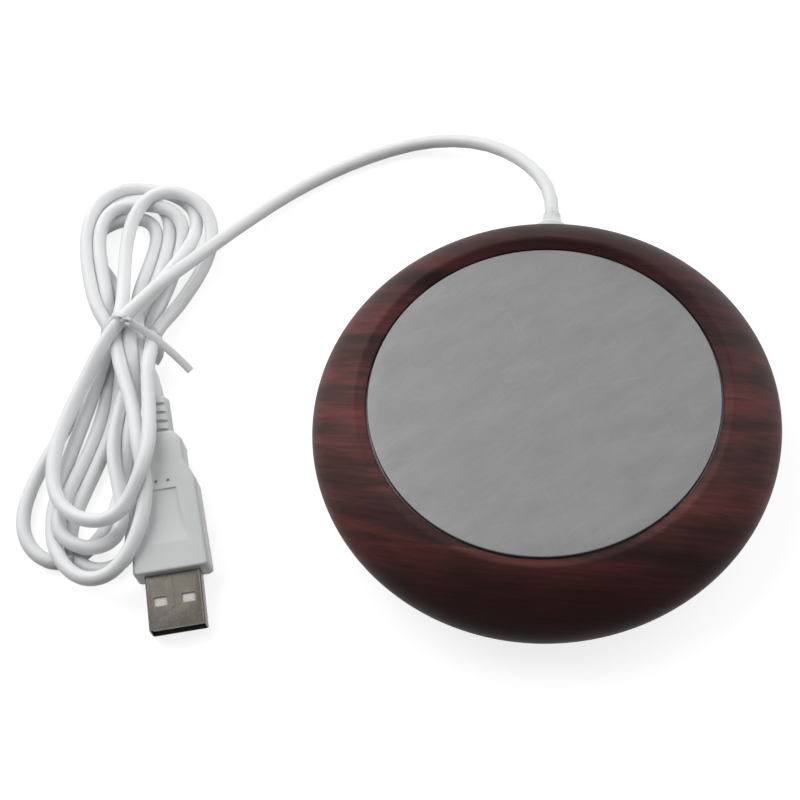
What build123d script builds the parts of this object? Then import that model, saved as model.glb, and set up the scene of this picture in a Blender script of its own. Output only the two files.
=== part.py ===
from build123d import *
import os
from math import asin, cos, degrees, pi, radians, sin, sqrt, tan

# A desk mug warmer: a round cushion of two plastic shells round a heated metal plate, with a captive
# USB lead that lies folded and tied beside it. Millimetres, +Z up, the lead leaves towards +Y, and the
# origin is on the table under the middle of the body.

os.makedirs("parts", exist_ok=True)

# ---------------------------------------------------------------- driving dimensions

# Heating plate: a pressed disc with a flat plateau and a lower flange
plate_d = 73.8
plate_t = 1.0
plate_step = 1.3
plate_flange_w = 2.1
plate_edge_round = 0.3

# Housing: rounded side, sloping shoulder, ridge, and a bevel down to the plate
rim_w = 13.1
side_r = 8.5
side_up = 30.0
plate_rise = 11.5
shoulder_top = 1.1
bevel_w = 2.0
bevel_foot = 0.4
ridge_round = 1.0
wall = 2.2
plate_gap = 0.4
fit = 0.3
locating_rim_t = 1.6
locating_rim_h = 2.4

# Base cover: a dish that closes the underside, with a tongue inside the upper shell
part_drop = 5.0
base_t = 2.0
tongue_h = 2.0
tongue_t = 1.4
tongue_fit = 0.15
rib_count = 6
rib_t = 1.0
rib_h = 1.6
rib_inner_r = 9.0

# Feet
foot_proud = 1.5
foot_sunk = 0.5
foot_r = 5.0
foot_at = 31.0
foot_round = 0.4

# Heater: foil track on a film, with an insulating ring behind it
film_t = 0.2
film_inset = 0.4
track_t = 0.1
track_w = 1.2
track_pitch = 2.3
track_turns = 6
track_gap = 6.0
track_margin = 1.0
terminal_w = 2.4
terminal_l = 4.0
terminal_inset = 1.0
pad_t = 3.0
pad_hole_r = 19.0

# Retainer that presses the stack against the lip
web_t = 1.0
retainer_wall = 2.0
retainer_drop = 3.0
lug_t = 1.4
lug_r = 2.5
lug_boss_r = 2.2
lug_count = 3
bridge_w = 9.0

# Screws: slotted heads, threads cut into plain plastic bosses
screw_r = 0.95
screw_clear = 0.2
head_r = 1.9
head_h = 0.9
head_fit = 0.25
slot_w = 0.4
slot_deep = 0.4
retainer_screw_l = 5.0
housing_screw_l = 9.0
clamp_screw_l = 7.0
boss_r = 2.4
boss_count = 4

# Thermal cut-off under the film, its legs and the shrink sleeves
cutoff_l = 15.0
cutoff_w = 7.5
cutoff_y = -6.0
cutoff_round = 0.8
leg_l = 4.5
leg_r = 0.5
sleeve_l = 5.0
sleeve_t = 0.3

# Lead: round jacket, two cores, moulded relief, clamp inside the base
cord_d = 3.2
core_r = 0.55
core_space = 0.75
core_bend = 1.1
core_straight = 5.0
core_rise = 3.0
jacket_end_y = 25.0
relief_r = 4.3
relief_fit = 0.05
relief_flange_r = 5.0
relief_flange_t = 1.4
relief_seat_back = 4.0
relief_reach = 4.5
relief_root = 0.1
relief_tip_wall = 0.35
relief_pad_w = 1.0
clamp_y = 31.0
clamp_l = 18.0
clamp_w = 5.0
clamp_t = 2.6
clamp_screw_x = 6.0
clamp_round = 1.1
bend_share = 0.45

# USB plug: metal shell, insulator, contacts, moulded body with a grooved neck
plug_yaw = 12.0
plug_tilt = 5.6
plug_front = (-77.5, -35.0)
plug_t = 8.0
plug_front_w = 16.4
plug_rear_w = 13.9
plug_main_l = 25.1
plug_shoulder = 4.8
plug_step_w = 9.4
plug_step_l = 7.3
plug_step_shoulder = 2.4
plug_chin_round = 2.0
plug_lip_round = 0.5
plug_round = 1.1
neck_l = 9.3
neck_base_r = 2.7
neck_end_r = 2.3
neck_round = 1.2
neck_root = 1.0
groove_count = 4
groove_w = 0.7
groove_l = 3.8
groove_deep = 0.7
groove_pitch = 2.14
groove_first = 0.5
panel_front_w = 8.7
panel_rear_w = 5.8
panel_l = 12.4
panel_front_gap = 6.2
panel_deep = 0.25
pin_r = 0.35
pin_space = 2.6
pin_back = 1.8
pin_deep = 0.8
shell_w = 12.0
shell_h = 4.5
shell_t = 0.3
shell_out = 12.0
shell_in = 7.0
shell_round = 0.6
window_w = 2.8
window_l = 2.0
window_x = 3.0
window_back = 6.0
insulator_t = 1.9
insulator_back = 0.4
contact_w = 1.0
contact_t = 0.2
contact_pitch = 2.3
contact_back = 1.0
contact_count = 4

# Hank: two lobes of folded lead pinched by a twist tie
hank_h = 10.5
hank_waist = (-95.8, 25.5)
hank_waist_r = 8.0
hank_top = (-96.0, 52.0)
hank_top_r = 15.6
hank_bottom = (-100.0, -22.5)
hank_bottom_r = 15.0
hank_round = 2.5
hank_foot_round = 1.0
plug_clear = 0.3
tie_w = 1.7
tie_t = 0.9
tie_round = 3.5
knot_r = 1.3
knot_l = 3.6
tail_r = 0.8
tail_end = (-79.5, 14.0, 6.0)

# Free stretch of the lead, from the relief's mouth to the hank
lead_route = [
    (0.0, 61.0, 10.0),
    (-6.6, 71.5, 8.0),
    (-17.5, 79.6, 5.0),
    (-32.0, 82.0, 2.2),
    (-47.5, 76.6, 1.65),
    (-61.5, 68.0, 1.65),
    (-73.4, 56.6, 2.9),
    (-83.1, 43.8, 6.6),
]

# ---------------------------------------------------------------- sizes that follow from those above

plate_r = plate_d / 2
body_r = plate_r + rim_w
side_x = body_r - side_r
girth_z = foot_proud + side_r
base_z = foot_proud
part_z = girth_z - part_drop
floor_z = base_z + base_t
plate_z = girth_z + plate_rise
ridge_z = plate_z + shoulder_top
bevel_z = plate_z - bevel_foot
opening_r = plate_r + plate_gap
ridge_r = opening_r + bevel_w
flange_r = plate_r + plate_flange_w
flange_z = plate_z - plate_step
flange_under_z = flange_z - plate_t
seat_r = flange_r + fit
rim_r = seat_r + locating_rim_t
rim_z = flange_z - locating_rim_h

# Side and shoulder arcs of the housing's section, outside and inside
part_angle = -degrees(asin(part_drop / side_r))
inner_side_r = side_r - wall
inner_part_angle = -degrees(asin(part_drop / inner_side_r))
side_normal = Vector(cos(radians(side_up)), sin(radians(side_up)))
side_tangent = (-sin(radians(side_up)), cos(radians(side_up)))
side_centre = Vector(side_x, girth_z)
side_end = side_centre + side_normal * side_r
to_ridge = Vector(ridge_r, ridge_z) - side_end
shoulder_r = to_ridge.length**2 / (-2 * to_ridge.dot(side_normal))
shoulder_centre = side_end - side_normal * shoulder_r
roof_z = shoulder_centre.Y + sqrt((shoulder_r - wall) ** 2 - (rim_r - shoulder_centre.X) ** 2)

# Base cover and the bosses that stand on it
inner_part_r = side_x + sqrt(inner_side_r**2 - part_drop**2)
tongue_out = inner_part_r - tongue_fit
tongue_in = tongue_out - tongue_t
boss_at = tongue_in - boss_r - fit
head_recess_z = base_z + head_h + head_fit

# Heater stack, from the plate downwards
film_z = plate_z - plate_t - film_t
film_r = plate_r - plate_t - film_inset
track_z = film_z - track_t
track_first_r = pad_hole_r + track_margin + track_w / 2
track_last_r = track_first_r + (track_turns - 1) * track_pitch
terminal_x = pad_hole_r - terminal_inset - terminal_l / 2
terminal_y = -(track_gap + track_w) / 2
pad_z = track_z - pad_t
web_z = pad_z - web_t
retainer_z = web_z - retainer_drop
retainer_in = flange_r - retainer_wall
lug_top_z = retainer_z + lug_t
lug_at = seat_r + lug_boss_r + fit + lug_t
leg_x = cutoff_l / 2 + leg_l
leg_z = pad_z + pad_t / 2

# Lead
cord_r = cord_d / 2
exit_z = girth_z
relief_seat_y = body_r - relief_seat_back
relief_mouth_y = body_r + relief_reach
lead_mouth = Axis((0, 0, exit_z), (0, 1, 0))

# Plug plane: under the plug's front face, +Y towards the tip, so low that the rounded chin rests on
# the table
plug_heading = Vector(sin(radians(plug_yaw)), -cos(radians(plug_yaw)), 0)
plug_up = plug_heading * sin(radians(plug_tilt)) + Vector(0, 0, cos(radians(plug_tilt)))
plug_tip = plug_heading * cos(radians(plug_tilt)) - Vector(0, 0, sin(radians(plug_tilt)))
chin_drop = plug_chin_round * (sin(radians(plug_tilt)) + cos(radians(plug_tilt)) - 1)
plug_plane = Plane(origin=(*plug_front, -chin_drop), x_dir=plug_tip.cross(plug_up), z_dir=plug_up)
plug_mid = plug_plane.offset(plug_t / 2)
plug_l = plug_main_l + plug_step_l
shell_inner_w = shell_w - 2 * shell_t
shell_inner_h = shell_h - 2 * shell_t


def plug_section(along):
    """Plane across the plug, that far from its front face towards the tip, local +Y up."""
    return Plane(origin=plug_mid.origin + plug_tip * along, x_dir=-plug_plane.x_dir, z_dir=plug_tip)


# Tie plane: across the hank's waist, local +Y straight up
hank_run = Vector(hank_top[0] - hank_bottom[0], hank_top[1] - hank_bottom[1], 0).normalized()
tie_plane = Plane(origin=(*hank_waist, 0), x_dir=(hank_run.Y, -hank_run.X, 0), z_dir=-hank_run)


def finish(build, name):
    """Labels a finished piece and writes its STEP."""
    build.part.label = name
    export_step(build.part, f"parts/{name}.step")


# ---------------------------------------------------------------- upper housing
# Moulded shell: a rounded side under a sloping shoulder, a ridge, and a lip that holds the plate down.

with BuildPart() as housing_space:
    with BuildSketch(Plane.XZ):
        with BuildLine():
            side = CenterArc(side_centre, inner_side_r, inner_part_angle, side_up - inner_part_angle)
            TangentArc(side @ 1, (rim_r, roof_z), tangent=side_tangent)
            Polyline((rim_r, roof_z), (rim_r, rim_z), (seat_r, rim_z), (seat_r, flange_z), (0, flange_z),
                     (0, part_z), side @ 0)
        make_face()
    revolve(axis=Axis.Z)
    with BuildSketch(Plane.XY.offset(part_z)):
        with PolarLocations(boss_at, boss_count, start_angle=180 / boss_count):
            Circle(boss_r)
    extrude(amount=ridge_z - part_z, mode=Mode.SUBTRACT)
    with BuildSketch(Plane.XY.offset(lug_top_z)):
        with PolarLocations(lug_at, lug_count, start_angle=-90):
            Circle(lug_boss_r)
    extrude(amount=ridge_z - lug_top_z, mode=Mode.SUBTRACT)
    with BuildSketch(Plane.XZ.offset(-relief_seat_y)):
        with Locations((0, exit_z)):
            Circle(relief_flange_r + relief_pad_w)
    extrude(amount=-relief_seat_back, mode=Mode.SUBTRACT)

with BuildPart() as upper_housing:
    with BuildSketch(Plane.XZ) as housing_section:
        with BuildLine():
            side = CenterArc(side_centre, side_r, part_angle, side_up - part_angle)
            shoulder = TangentArc(side @ 1, (ridge_r, ridge_z), tangent=side_tangent)
            Polyline(shoulder @ 1, (opening_r, bevel_z), (opening_r, flange_z), (0, flange_z),
                     (0, part_z), side @ 0)
        make_face()
        fillet(housing_section.vertices().sort_by(Axis.Y)[-1], radius=ridge_round)
    revolve(axis=Axis.Z)
    add(housing_space.part, mode=Mode.SUBTRACT)
    with BuildSketch(Plane.XY.offset(floor_z)):
        with PolarLocations(boss_at, boss_count, start_angle=180 / boss_count):
            Circle(boss_r)
    extrude(amount=part_z - floor_z)
    # The bosses are cut back where the retainer and the plate's flange pass them
    with BuildSketch(Plane.XY.offset(retainer_z - fit)):
        Circle(seat_r)
    extrude(amount=flange_z - retainer_z + fit, mode=Mode.SUBTRACT)
    with BuildSketch(Plane.XY.offset(floor_z)):
        with PolarLocations(boss_at, boss_count, start_angle=180 / boss_count):
            Circle(screw_r)
    extrude(amount=head_recess_z + housing_screw_l - floor_z, mode=Mode.SUBTRACT)
    with BuildSketch(Plane.XY.offset(lug_top_z)):
        with PolarLocations(lug_at, lug_count, start_angle=-90):
            Circle(screw_r)
    extrude(amount=retainer_z + retainer_screw_l - lug_top_z, mode=Mode.SUBTRACT)
    # Hole for the lead's relief, and the pocket that its flange lies in
    with BuildSketch(Plane.XZ.offset(-relief_seat_y)):
        with Locations((0, exit_z)):
            Circle(relief_r + relief_fit)
    extrude(amount=-relief_seat_back - relief_reach, mode=Mode.SUBTRACT)
    with BuildSketch(Plane.XZ.offset(-relief_seat_y)):
        with Locations((0, exit_z)):
            Circle(relief_flange_r + fit)
    extrude(amount=relief_flange_t + fit, mode=Mode.SUBTRACT)
finish(upper_housing, "upper_housing")

# ---------------------------------------------------------------- base cover
# Dish with the lower half of the rounded side, floor ribs, a saddle for the lead and foot recesses.

with BuildPart() as base_cover:
    with BuildSketch(Plane.XZ):
        with BuildLine():
            side = CenterArc(side_centre, side_r, -90, 90 + part_angle)
            Polyline(side @ 1, (tongue_out, part_z), (tongue_out, part_z + tongue_h),
                     (tongue_in, part_z + tongue_h), (tongue_in, floor_z), (0, floor_z), (0, base_z), side @ 0)
        make_face()
    revolve(axis=Axis.Z)
    with BuildSketch(Plane.XY.offset(floor_z)):
        with PolarLocations((rib_inner_r + tongue_in) / 2, rib_count):
            Rectangle(tongue_in - rib_inner_r + tongue_t, rib_t)
    extrude(amount=rib_h)
    with BuildSketch(Plane.XY.offset(floor_z)):
        with Locations((0, clamp_y)):
            Rectangle(clamp_l, clamp_w)
    extrude(amount=exit_z - floor_z)
    with BuildSketch(Plane.XZ.offset(-clamp_y)):
        with Locations((0, exit_z)):
            Circle(cord_r)
    extrude(amount=clamp_w, both=True, mode=Mode.SUBTRACT)
    with BuildSketch(Plane.XY.offset(exit_z)):
        with Locations((-clamp_screw_x, clamp_y), (clamp_screw_x, clamp_y)):
            Circle(screw_r)
    extrude(amount=clamp_t - clamp_screw_l, mode=Mode.SUBTRACT)
    with BuildSketch(Plane.XY.offset(base_z - foot_proud)):
        with PolarLocations(foot_at, 4):
            Circle(foot_r)
    extrude(amount=foot_proud + foot_sunk, mode=Mode.SUBTRACT)
    with BuildSketch(Plane.XY.offset(base_z)):
        with PolarLocations(boss_at, boss_count, start_angle=180 / boss_count):
            Circle(screw_r + screw_clear)
    extrude(amount=base_t, mode=Mode.SUBTRACT)
    with BuildSketch(Plane.XY.offset(base_z)):
        with PolarLocations(boss_at, boss_count, start_angle=180 / boss_count):
            Circle(head_r + head_fit)
    extrude(amount=head_h + head_fit, mode=Mode.SUBTRACT)
    # The tongue is notched where the relief's flange stands
    with BuildSketch(Plane.XZ.offset(-relief_seat_y)):
        with Locations((0, exit_z)):
            Rectangle(2 * (relief_flange_r + fit), 2 * (relief_flange_r + fit))
    extrude(amount=relief_seat_y - tongue_in + relief_flange_t, mode=Mode.SUBTRACT)
finish(base_cover, "base_cover")

# ---------------------------------------------------------------- feet
# Four soft discs pressed into the base cover's recesses.

for foot_name, foot_angle in (("right", 0), ("back", 90), ("left", 180), ("front", 270)):
    with BuildPart() as foot:
        with BuildSketch(Plane.XY.offset(base_z - foot_proud)):
            with PolarLocations(foot_at, 1, start_angle=foot_angle):
                Circle(foot_r)
        extrude(amount=foot_proud + foot_sunk)
        fillet(foot.edges().group_by(Axis.Z)[0], radius=foot_round)
    finish(foot, f"foot_{foot_name}")

# ---------------------------------------------------------------- heating plate
# Pressed disc: the plateau fills the housing's opening, the flange lies under its lip.

with BuildPart() as heating_plate:
    with BuildSketch(Plane.XZ):
        with BuildLine():
            Polyline((0, plate_z - plate_t), (plate_r - plate_t, plate_z - plate_t),
                     (plate_r - plate_t, flange_under_z), (flange_r, flange_under_z), (flange_r, flange_z),
                     (plate_r, flange_z), (plate_r, plate_z), (0, plate_z), close=True)
        make_face()
    revolve(axis=Axis.Z)
    fillet(heating_plate.faces().sort_by(Axis.Z)[-1].edges(), radius=plate_edge_round)
finish(heating_plate, "heating_plate")

# ---------------------------------------------------------------- heater film and track
# A thin disc against the plate, carrying a foil track that folds back on itself at each turn.

with BuildPart() as heater_film:
    with BuildSketch(Plane.XY.offset(film_z)):
        Circle(film_r)
    extrude(amount=film_t)
finish(heater_film, "heater_film")

with BuildPart() as heater_track:
    with BuildSketch(Plane.XY.offset(track_z)):
        for turn in reversed(range(track_turns)):
            turn_r = track_first_r + turn * track_pitch
            Circle(turn_r + track_w / 2)
            Circle(turn_r - track_w / 2, mode=Mode.SUBTRACT)
        with Locations((track_last_r, 0)):
            Rectangle(2 * track_last_r, track_gap, mode=Mode.SUBTRACT)
        for turn in range(track_turns - 1):
            link_side = 1 if turn % 2 == 0 else -1
            with Locations((track_first_r + (turn + 0.5) * track_pitch, -link_side * terminal_y)):
                Rectangle(track_pitch + track_w, track_w)
        # Inner end to its terminal, and outer end back through the gap to the other
        with Locations(((terminal_x + track_first_r) / 2, terminal_y)):
            Rectangle(track_first_r - terminal_x + track_w, track_w)
        with Locations((track_last_r, terminal_y / 2)):
            Rectangle(track_w, -terminal_y + track_w)
        with Locations(((terminal_x + track_last_r) / 2, 0)):
            Rectangle(track_last_r - terminal_x, track_w)
        with Locations((terminal_x, 0), (terminal_x, terminal_y)):
            Rectangle(terminal_l, terminal_w)
    extrude(amount=track_t)
finish(heater_track, "heater_track")

# ---------------------------------------------------------------- insulation ring
# Felted fibre ring that keeps the heat on the plate's side.

with BuildPart() as insulation_ring:
    with BuildSketch(Plane.XY.offset(pad_z)):
        Circle(film_r)
        Circle(pad_hole_r, mode=Mode.SUBTRACT)
    extrude(amount=pad_t)
finish(insulation_ring, "insulation_ring")

# ---------------------------------------------------------------- retainer
# Moulded ring whose wall presses the plate's flange up and whose web carries the stack.

with BuildPart() as retainer_ring:
    with BuildSketch(Plane.XZ):
        with BuildLine():
            Polyline((pad_hole_r, web_z), (retainer_in, web_z), (retainer_in, retainer_z),
                     (flange_r, retainer_z), (flange_r, flange_under_z), (retainer_in, flange_under_z),
                     (retainer_in, pad_z), (pad_hole_r, pad_z), close=True)
        make_face()
    revolve(axis=Axis.Z)
    with BuildSketch(Plane.XY.offset(web_z)):
        with Locations((0, cutoff_y)):
            Rectangle(2 * (pad_hole_r + web_t), bridge_w)
    extrude(amount=web_t)
    with BuildSketch(Plane.XY.offset(retainer_z)):
        with PolarLocations(lug_at, lug_count, start_angle=-90):
            Circle(lug_r)
        with PolarLocations((retainer_in + retainer_wall / 2 + lug_at) / 2, lug_count, start_angle=-90):
            Rectangle(lug_at - retainer_in - retainer_wall / 2, 2 * lug_r)
    extrude(amount=lug_t)
    with BuildSketch(Plane.XY.offset(retainer_z)):
        with PolarLocations(lug_at, lug_count, start_angle=-90):
            Circle(screw_r)
    extrude(amount=lug_t, mode=Mode.SUBTRACT)
finish(retainer_ring, "retainer_ring")

# ---------------------------------------------------------------- screws
# Slotted heads; the threads are left as plain shanks.


def screws(name, head_z, length, up, places):
    """Screws whose heads seat at head_z, pointing up or down, at each of the places."""
    with BuildPart() as group:
        with BuildSketch(Plane.XY.offset(head_z)):
            with places:
                Circle(head_r)
        extrude(amount=-up * head_h)
        with BuildSketch(Plane.XY.offset(head_z)):
            with places:
                Circle(screw_r)
        extrude(amount=up * length)
        with BuildSketch(Plane.XY.offset(head_z - up * head_h)):
            with places:
                Rectangle(2 * head_r, slot_w)
        extrude(amount=up * slot_deep, mode=Mode.SUBTRACT)
    finish(group, name)


housing_places = PolarLocations(boss_at, boss_count, start_angle=180 / boss_count)
retainer_places = PolarLocations(lug_at, lug_count, start_angle=-90)
clamp_places = Locations((-clamp_screw_x, clamp_y), (clamp_screw_x, clamp_y))
screws("housing_screws", head_recess_z, housing_screw_l, 1, housing_places)
screws("retainer_screws", retainer_z, retainer_screw_l, 1, retainer_places)
screws("clamp_screws", exit_z + clamp_t, clamp_screw_l, -1, clamp_places)

# ---------------------------------------------------------------- thermal cut-off
# Flat bimetal switch between the film and the retainer's bridge, with a leg at each end.

with BuildPart() as thermal_cutoff:
    with BuildSketch(Plane.XY.offset(pad_z)):
        with Locations((0, cutoff_y)):
            RectangleRounded(cutoff_l, cutoff_w, cutoff_round)
    extrude(amount=pad_t)
    with BuildSketch(Plane.YZ):
        with Locations((cutoff_y, leg_z)):
            Circle(leg_r)
    extrude(amount=leg_x, both=True)
finish(thermal_cutoff, "thermal_cutoff")

with BuildPart() as joint_sleeves:
    for sleeve_x in (-leg_x - sleeve_l / 2, leg_x - sleeve_l / 2):
        with BuildSketch(Plane.YZ.offset(sleeve_x)):
            with Locations((cutoff_y, leg_z)):
                Circle(core_r + sleeve_t)
                Circle(core_r, mode=Mode.SUBTRACT)
        extrude(amount=sleeve_l)
finish(joint_sleeves, "joint_sleeves")

# ---------------------------------------------------------------- inner leads
# Two cores from the jacket's end and a short link; each ends on a leg or flat under a terminal.

core_z = track_z - core_r
core_turn_x = leg_x + 4 * core_bend
core_turn_y = pad_hole_r / 2


def inner_lead(name, *points):
    """A sleeved core along the given points."""
    with BuildPart() as core:
        with BuildLine():
            route = FilletPolyline(*points, radius=core_bend)
        with BuildSketch(Plane(origin=route @ 0, z_dir=route % 0)):
            Circle(core_r)
        sweep()
    finish(core, name)


inner_lead("lead_black", (core_space, jacket_end_y, exit_z),
           (core_space, jacket_end_y - core_straight, exit_z), (terminal_x - core_rise, core_turn_y, web_z),
           (terminal_x, terminal_w + core_rise, core_z), (terminal_x, -terminal_w / 2, core_z))
inner_lead("lead_red", (-core_space, jacket_end_y, exit_z),
           (-core_space, jacket_end_y - core_straight, exit_z), (core_bend - core_turn_x, core_turn_y, web_z),
           (-core_turn_x, 0, leg_z), (-core_turn_x, cutoff_y, leg_z), (-leg_x, cutoff_y, leg_z))
inner_lead("lead_link", (leg_x, cutoff_y, leg_z), (core_turn_x, cutoff_y, leg_z),
           (core_turn_x, terminal_y, core_z), (terminal_x - terminal_l / 2, terminal_y, core_z))

# ---------------------------------------------------------------- lead clamp and the lead inside
# A bar screwed over the jacket, and the jacket from its cut end to the relief's mouth.

with BuildPart() as cord_clamp:
    with BuildSketch(Plane.XY.offset(exit_z)):
        with Locations((0, clamp_y)):
            RectangleRounded(clamp_l, clamp_w, clamp_round)
    extrude(amount=clamp_t)
    with BuildSketch(Plane.XZ.offset(-clamp_y)):
        with Locations((0, exit_z)):
            Circle(cord_r)
    extrude(amount=clamp_w, both=True, mode=Mode.SUBTRACT)
    with BuildSketch(Plane.XY.offset(exit_z)):
        with Locations((-clamp_screw_x, clamp_y), (clamp_screw_x, clamp_y)):
            Circle(screw_r)
    extrude(amount=clamp_t, mode=Mode.SUBTRACT)
finish(cord_clamp, "cord_clamp")

with BuildPart() as cord_inner:
    with BuildSketch(Plane.XZ.offset(-jacket_end_y)):
        with Locations((0, exit_z)):
            Circle(cord_r)
    extrude(amount=jacket_end_y - relief_mouth_y)
finish(cord_inner, "cord_inner")

# ---------------------------------------------------------------- strain relief
# Moulded on the lead: a flange behind the wall, a plug in its hole and a flared trumpet outside.

with BuildPart() as strain_relief:
    with BuildSketch(Plane.XY.offset(exit_z)):
        with BuildLine():
            flare = TangentArc((cord_r + relief_tip_wall, relief_mouth_y), (relief_r, body_r - relief_root),
                               tangent=(0, -1))
            Polyline(flare @ 1, (relief_r, relief_seat_y), (relief_flange_r, relief_seat_y),
                     (relief_flange_r, relief_seat_y - relief_flange_t),
                     (cord_r, relief_seat_y - relief_flange_t), (cord_r, relief_mouth_y), flare @ 0)
        make_face()
    revolve(axis=lead_mouth)
finish(strain_relief, "strain_relief")

# ---------------------------------------------------------------- USB shell, insulator, contacts
# Folded steel tube with two windows in each broad face; the insulator lies under the upper one.

with BuildPart() as usb_shell:
    with BuildSketch(plug_section(-shell_in)):
        RectangleRounded(shell_w, shell_h, shell_round)
        RectangleRounded(shell_inner_w, shell_inner_h, shell_round - shell_t, mode=Mode.SUBTRACT)
    extrude(amount=shell_in + shell_out)
    with BuildSketch(plug_mid):
        with Locations((-window_x, shell_out - window_back), (window_x, shell_out - window_back)):
            Rectangle(window_w, window_l)
    extrude(amount=shell_h, both=True, mode=Mode.SUBTRACT)
finish(usb_shell, "usb_shell")

with BuildPart() as usb_insulator:
    with BuildSketch(plug_section(-shell_in)):
        Rectangle(shell_inner_w - 2 * fit, shell_inner_h)
    extrude(amount=shell_in)
    with BuildSketch(plug_section(0)):
        with Locations((0, (shell_inner_h - insulator_t) / 2)):
            Rectangle(shell_inner_w - 2 * fit, insulator_t)
    extrude(amount=shell_out - insulator_back)
finish(usb_insulator, "usb_insulator")

with BuildPart() as usb_contacts:
    with BuildSketch(plug_section(0)):
        with Locations((0, shell_inner_h / 2 - insulator_t - contact_t / 2)):
            with GridLocations(contact_pitch, 0, contact_count, 1):
                Rectangle(contact_w, contact_t)
    extrude(amount=shell_out - insulator_back - contact_back)
finish(usb_contacts, "usb_contacts")

# ---------------------------------------------------------------- plug body
# Overmould: tapered block, narrower rear block with sloped shoulders, grooved neck.

with BuildPart() as plug_body:
    with BuildSketch(plug_plane) as plug_outline:
        with BuildLine():
            half = Polyline((0, 0), (plug_front_w / 2, 0), (plug_rear_w / 2, plug_shoulder - plug_main_l),
                            (plug_step_w / 2, -plug_main_l), (plug_step_w / 2, plug_step_shoulder - plug_l),
                            (neck_base_r, -plug_l), (0, -plug_l))
            mirror(half, about=Plane.YZ)
        make_face()
        fillet(plug_outline.vertices().sort_by(Axis.Y)[2:-2], radius=plug_round)
    extrude(amount=plug_t)
    upward = Axis(plug_plane.origin, plug_up)
    forward = Axis(plug_plane.origin, plug_tip)
    chin = plug_body.faces().sort_by(forward)[-1].edges().sort_by(upward)[0]
    fillet(chin, radius=plug_chin_round)
    broad_faces = plug_body.faces().sort_by(upward)
    fillet(broad_faces[0].edges() + broad_faces[-1].edges().sort_by(forward)[:-1], radius=plug_round)
    lip = plug_body.faces().sort_by(upward)[-1].edges().sort_by(forward)[-1]
    fillet(lip, radius=plug_lip_round)
    with BuildSketch(plug_mid):
        with BuildLine():
            Polyline((0, neck_root - plug_l), (neck_base_r, neck_root - plug_l), (neck_base_r, -plug_l),
                     (neck_end_r, neck_round - plug_l - neck_l))
            TangentArc((neck_end_r, neck_round - plug_l - neck_l), (cord_r, -plug_l - neck_l), tangent=(0, -1))
            Polyline((cord_r, -plug_l - neck_l), (0, -plug_l - neck_l), (0, neck_root - plug_l))
        make_face()
    revolve(axis=Axis(plug_mid.origin, plug_tip))
    for groove in range(groove_count):
        groove_y = -plug_l - groove_first - groove * groove_pitch
        for face in (1, -1):
            with BuildSketch(plug_mid.offset(face * (neck_base_r - groove_deep))):
                with Locations((0, groove_y)):
                    Rectangle(groove_l, groove_w)
            extrude(amount=face * neck_base_r, mode=Mode.SUBTRACT)
    with BuildSketch(plug_section(-shell_in)):
        RectangleRounded(shell_w, shell_h, shell_round)
    extrude(amount=shell_in, mode=Mode.SUBTRACT)
    # A shallow bare panel and two mould-pin holes behind it
    with BuildSketch(plug_plane.offset(plug_t - panel_deep)):
        with BuildLine():
            Polyline((panel_front_w / 2, -panel_front_gap), (panel_rear_w / 2, -panel_front_gap - panel_l),
                     (-panel_rear_w / 2, -panel_front_gap - panel_l), (-panel_front_w / 2, -panel_front_gap),
                     close=True)
        make_face()
    extrude(amount=plug_t, mode=Mode.SUBTRACT)
    with BuildSketch(plug_plane.offset(plug_t - pin_deep)):
        with Locations((0, -panel_front_gap - panel_l - pin_back)):
            with GridLocations(pin_space, 0, 2, 1):
                Circle(pin_r)
    extrude(amount=plug_t, mode=Mode.SUBTRACT)
finish(plug_body, "plug_body")

# ---------------------------------------------------------------- twist tie
# Plastic-coated wire bent round the hank's waist, twisted on top, with one tail left long.

tie_inner_w = 2 * hank_waist_r - 2 * tie_t
tie_inner_h = hank_h - tie_t
knot_place = Vector(*hank_waist, hank_h + tie_t)
tail_dir = (Vector(*tail_end) - knot_place).normalized()

with BuildPart() as cable_tie:
    with BuildSketch(tie_plane.offset(-tie_w / 2)):
        with Locations((0, tie_t + tie_inner_h / 2)):
            RectangleRounded(tie_inner_w + 2 * tie_t, tie_inner_h + 2 * tie_t, tie_round + tie_t)
            RectangleRounded(tie_inner_w, tie_inner_h, tie_round, mode=Mode.SUBTRACT)
    extrude(amount=tie_w)
    with BuildSketch(Plane(origin=knot_place - tail_dir * knot_l / 2, z_dir=tail_dir)):
        Circle(knot_r)
    extrude(amount=knot_l)
    with BuildSketch(Plane(origin=knot_place, z_dir=tail_dir)):
        Circle(tail_r)
    extrude(amount=(Vector(*tail_end) - knot_place).length)
finish(cable_tie, "cable_tie")

# ---------------------------------------------------------------- hank
# The outer shape of the folded lead: two lobes, cut clear of the plug, pinched inside the tie.

with BuildPart() as cord_hank:
    with BuildSketch():
        with Locations(hank_top):
            Circle(hank_top_r)
        with Locations(hank_waist):
            Circle(hank_waist_r)
        make_hull()
    extrude(amount=hank_h)
    with BuildSketch():
        with Locations(hank_bottom):
            Circle(hank_bottom_r)
        with Locations(hank_waist):
            Circle(hank_waist_r)
        make_hull()
    extrude(amount=hank_h)
    fillet(cord_hank.edges().group_by(Axis.Z)[-1], radius=hank_round)
    fillet(cord_hank.edges().group_by(Axis.Z)[0], radius=hank_foot_round)
    with BuildSketch(plug_plane.offset(-plug_t)):
        with Locations((0, -plug_main_l / 2)):
            Rectangle(plug_front_w + 2 * plug_clear, plug_main_l)
        with Locations((0, -(plug_l + neck_l) / 2)):
            Rectangle(plug_step_w + 2 * plug_clear, plug_l + neck_l)
    extrude(amount=4 * plug_t, mode=Mode.SUBTRACT)
    add(cable_tie.part, mode=Mode.SUBTRACT)
finish(cord_hank, "cord_hank")

# ---------------------------------------------------------------- free lead
# Jacket along its route; each corner's arc is as large as its two runs allow.

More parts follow.
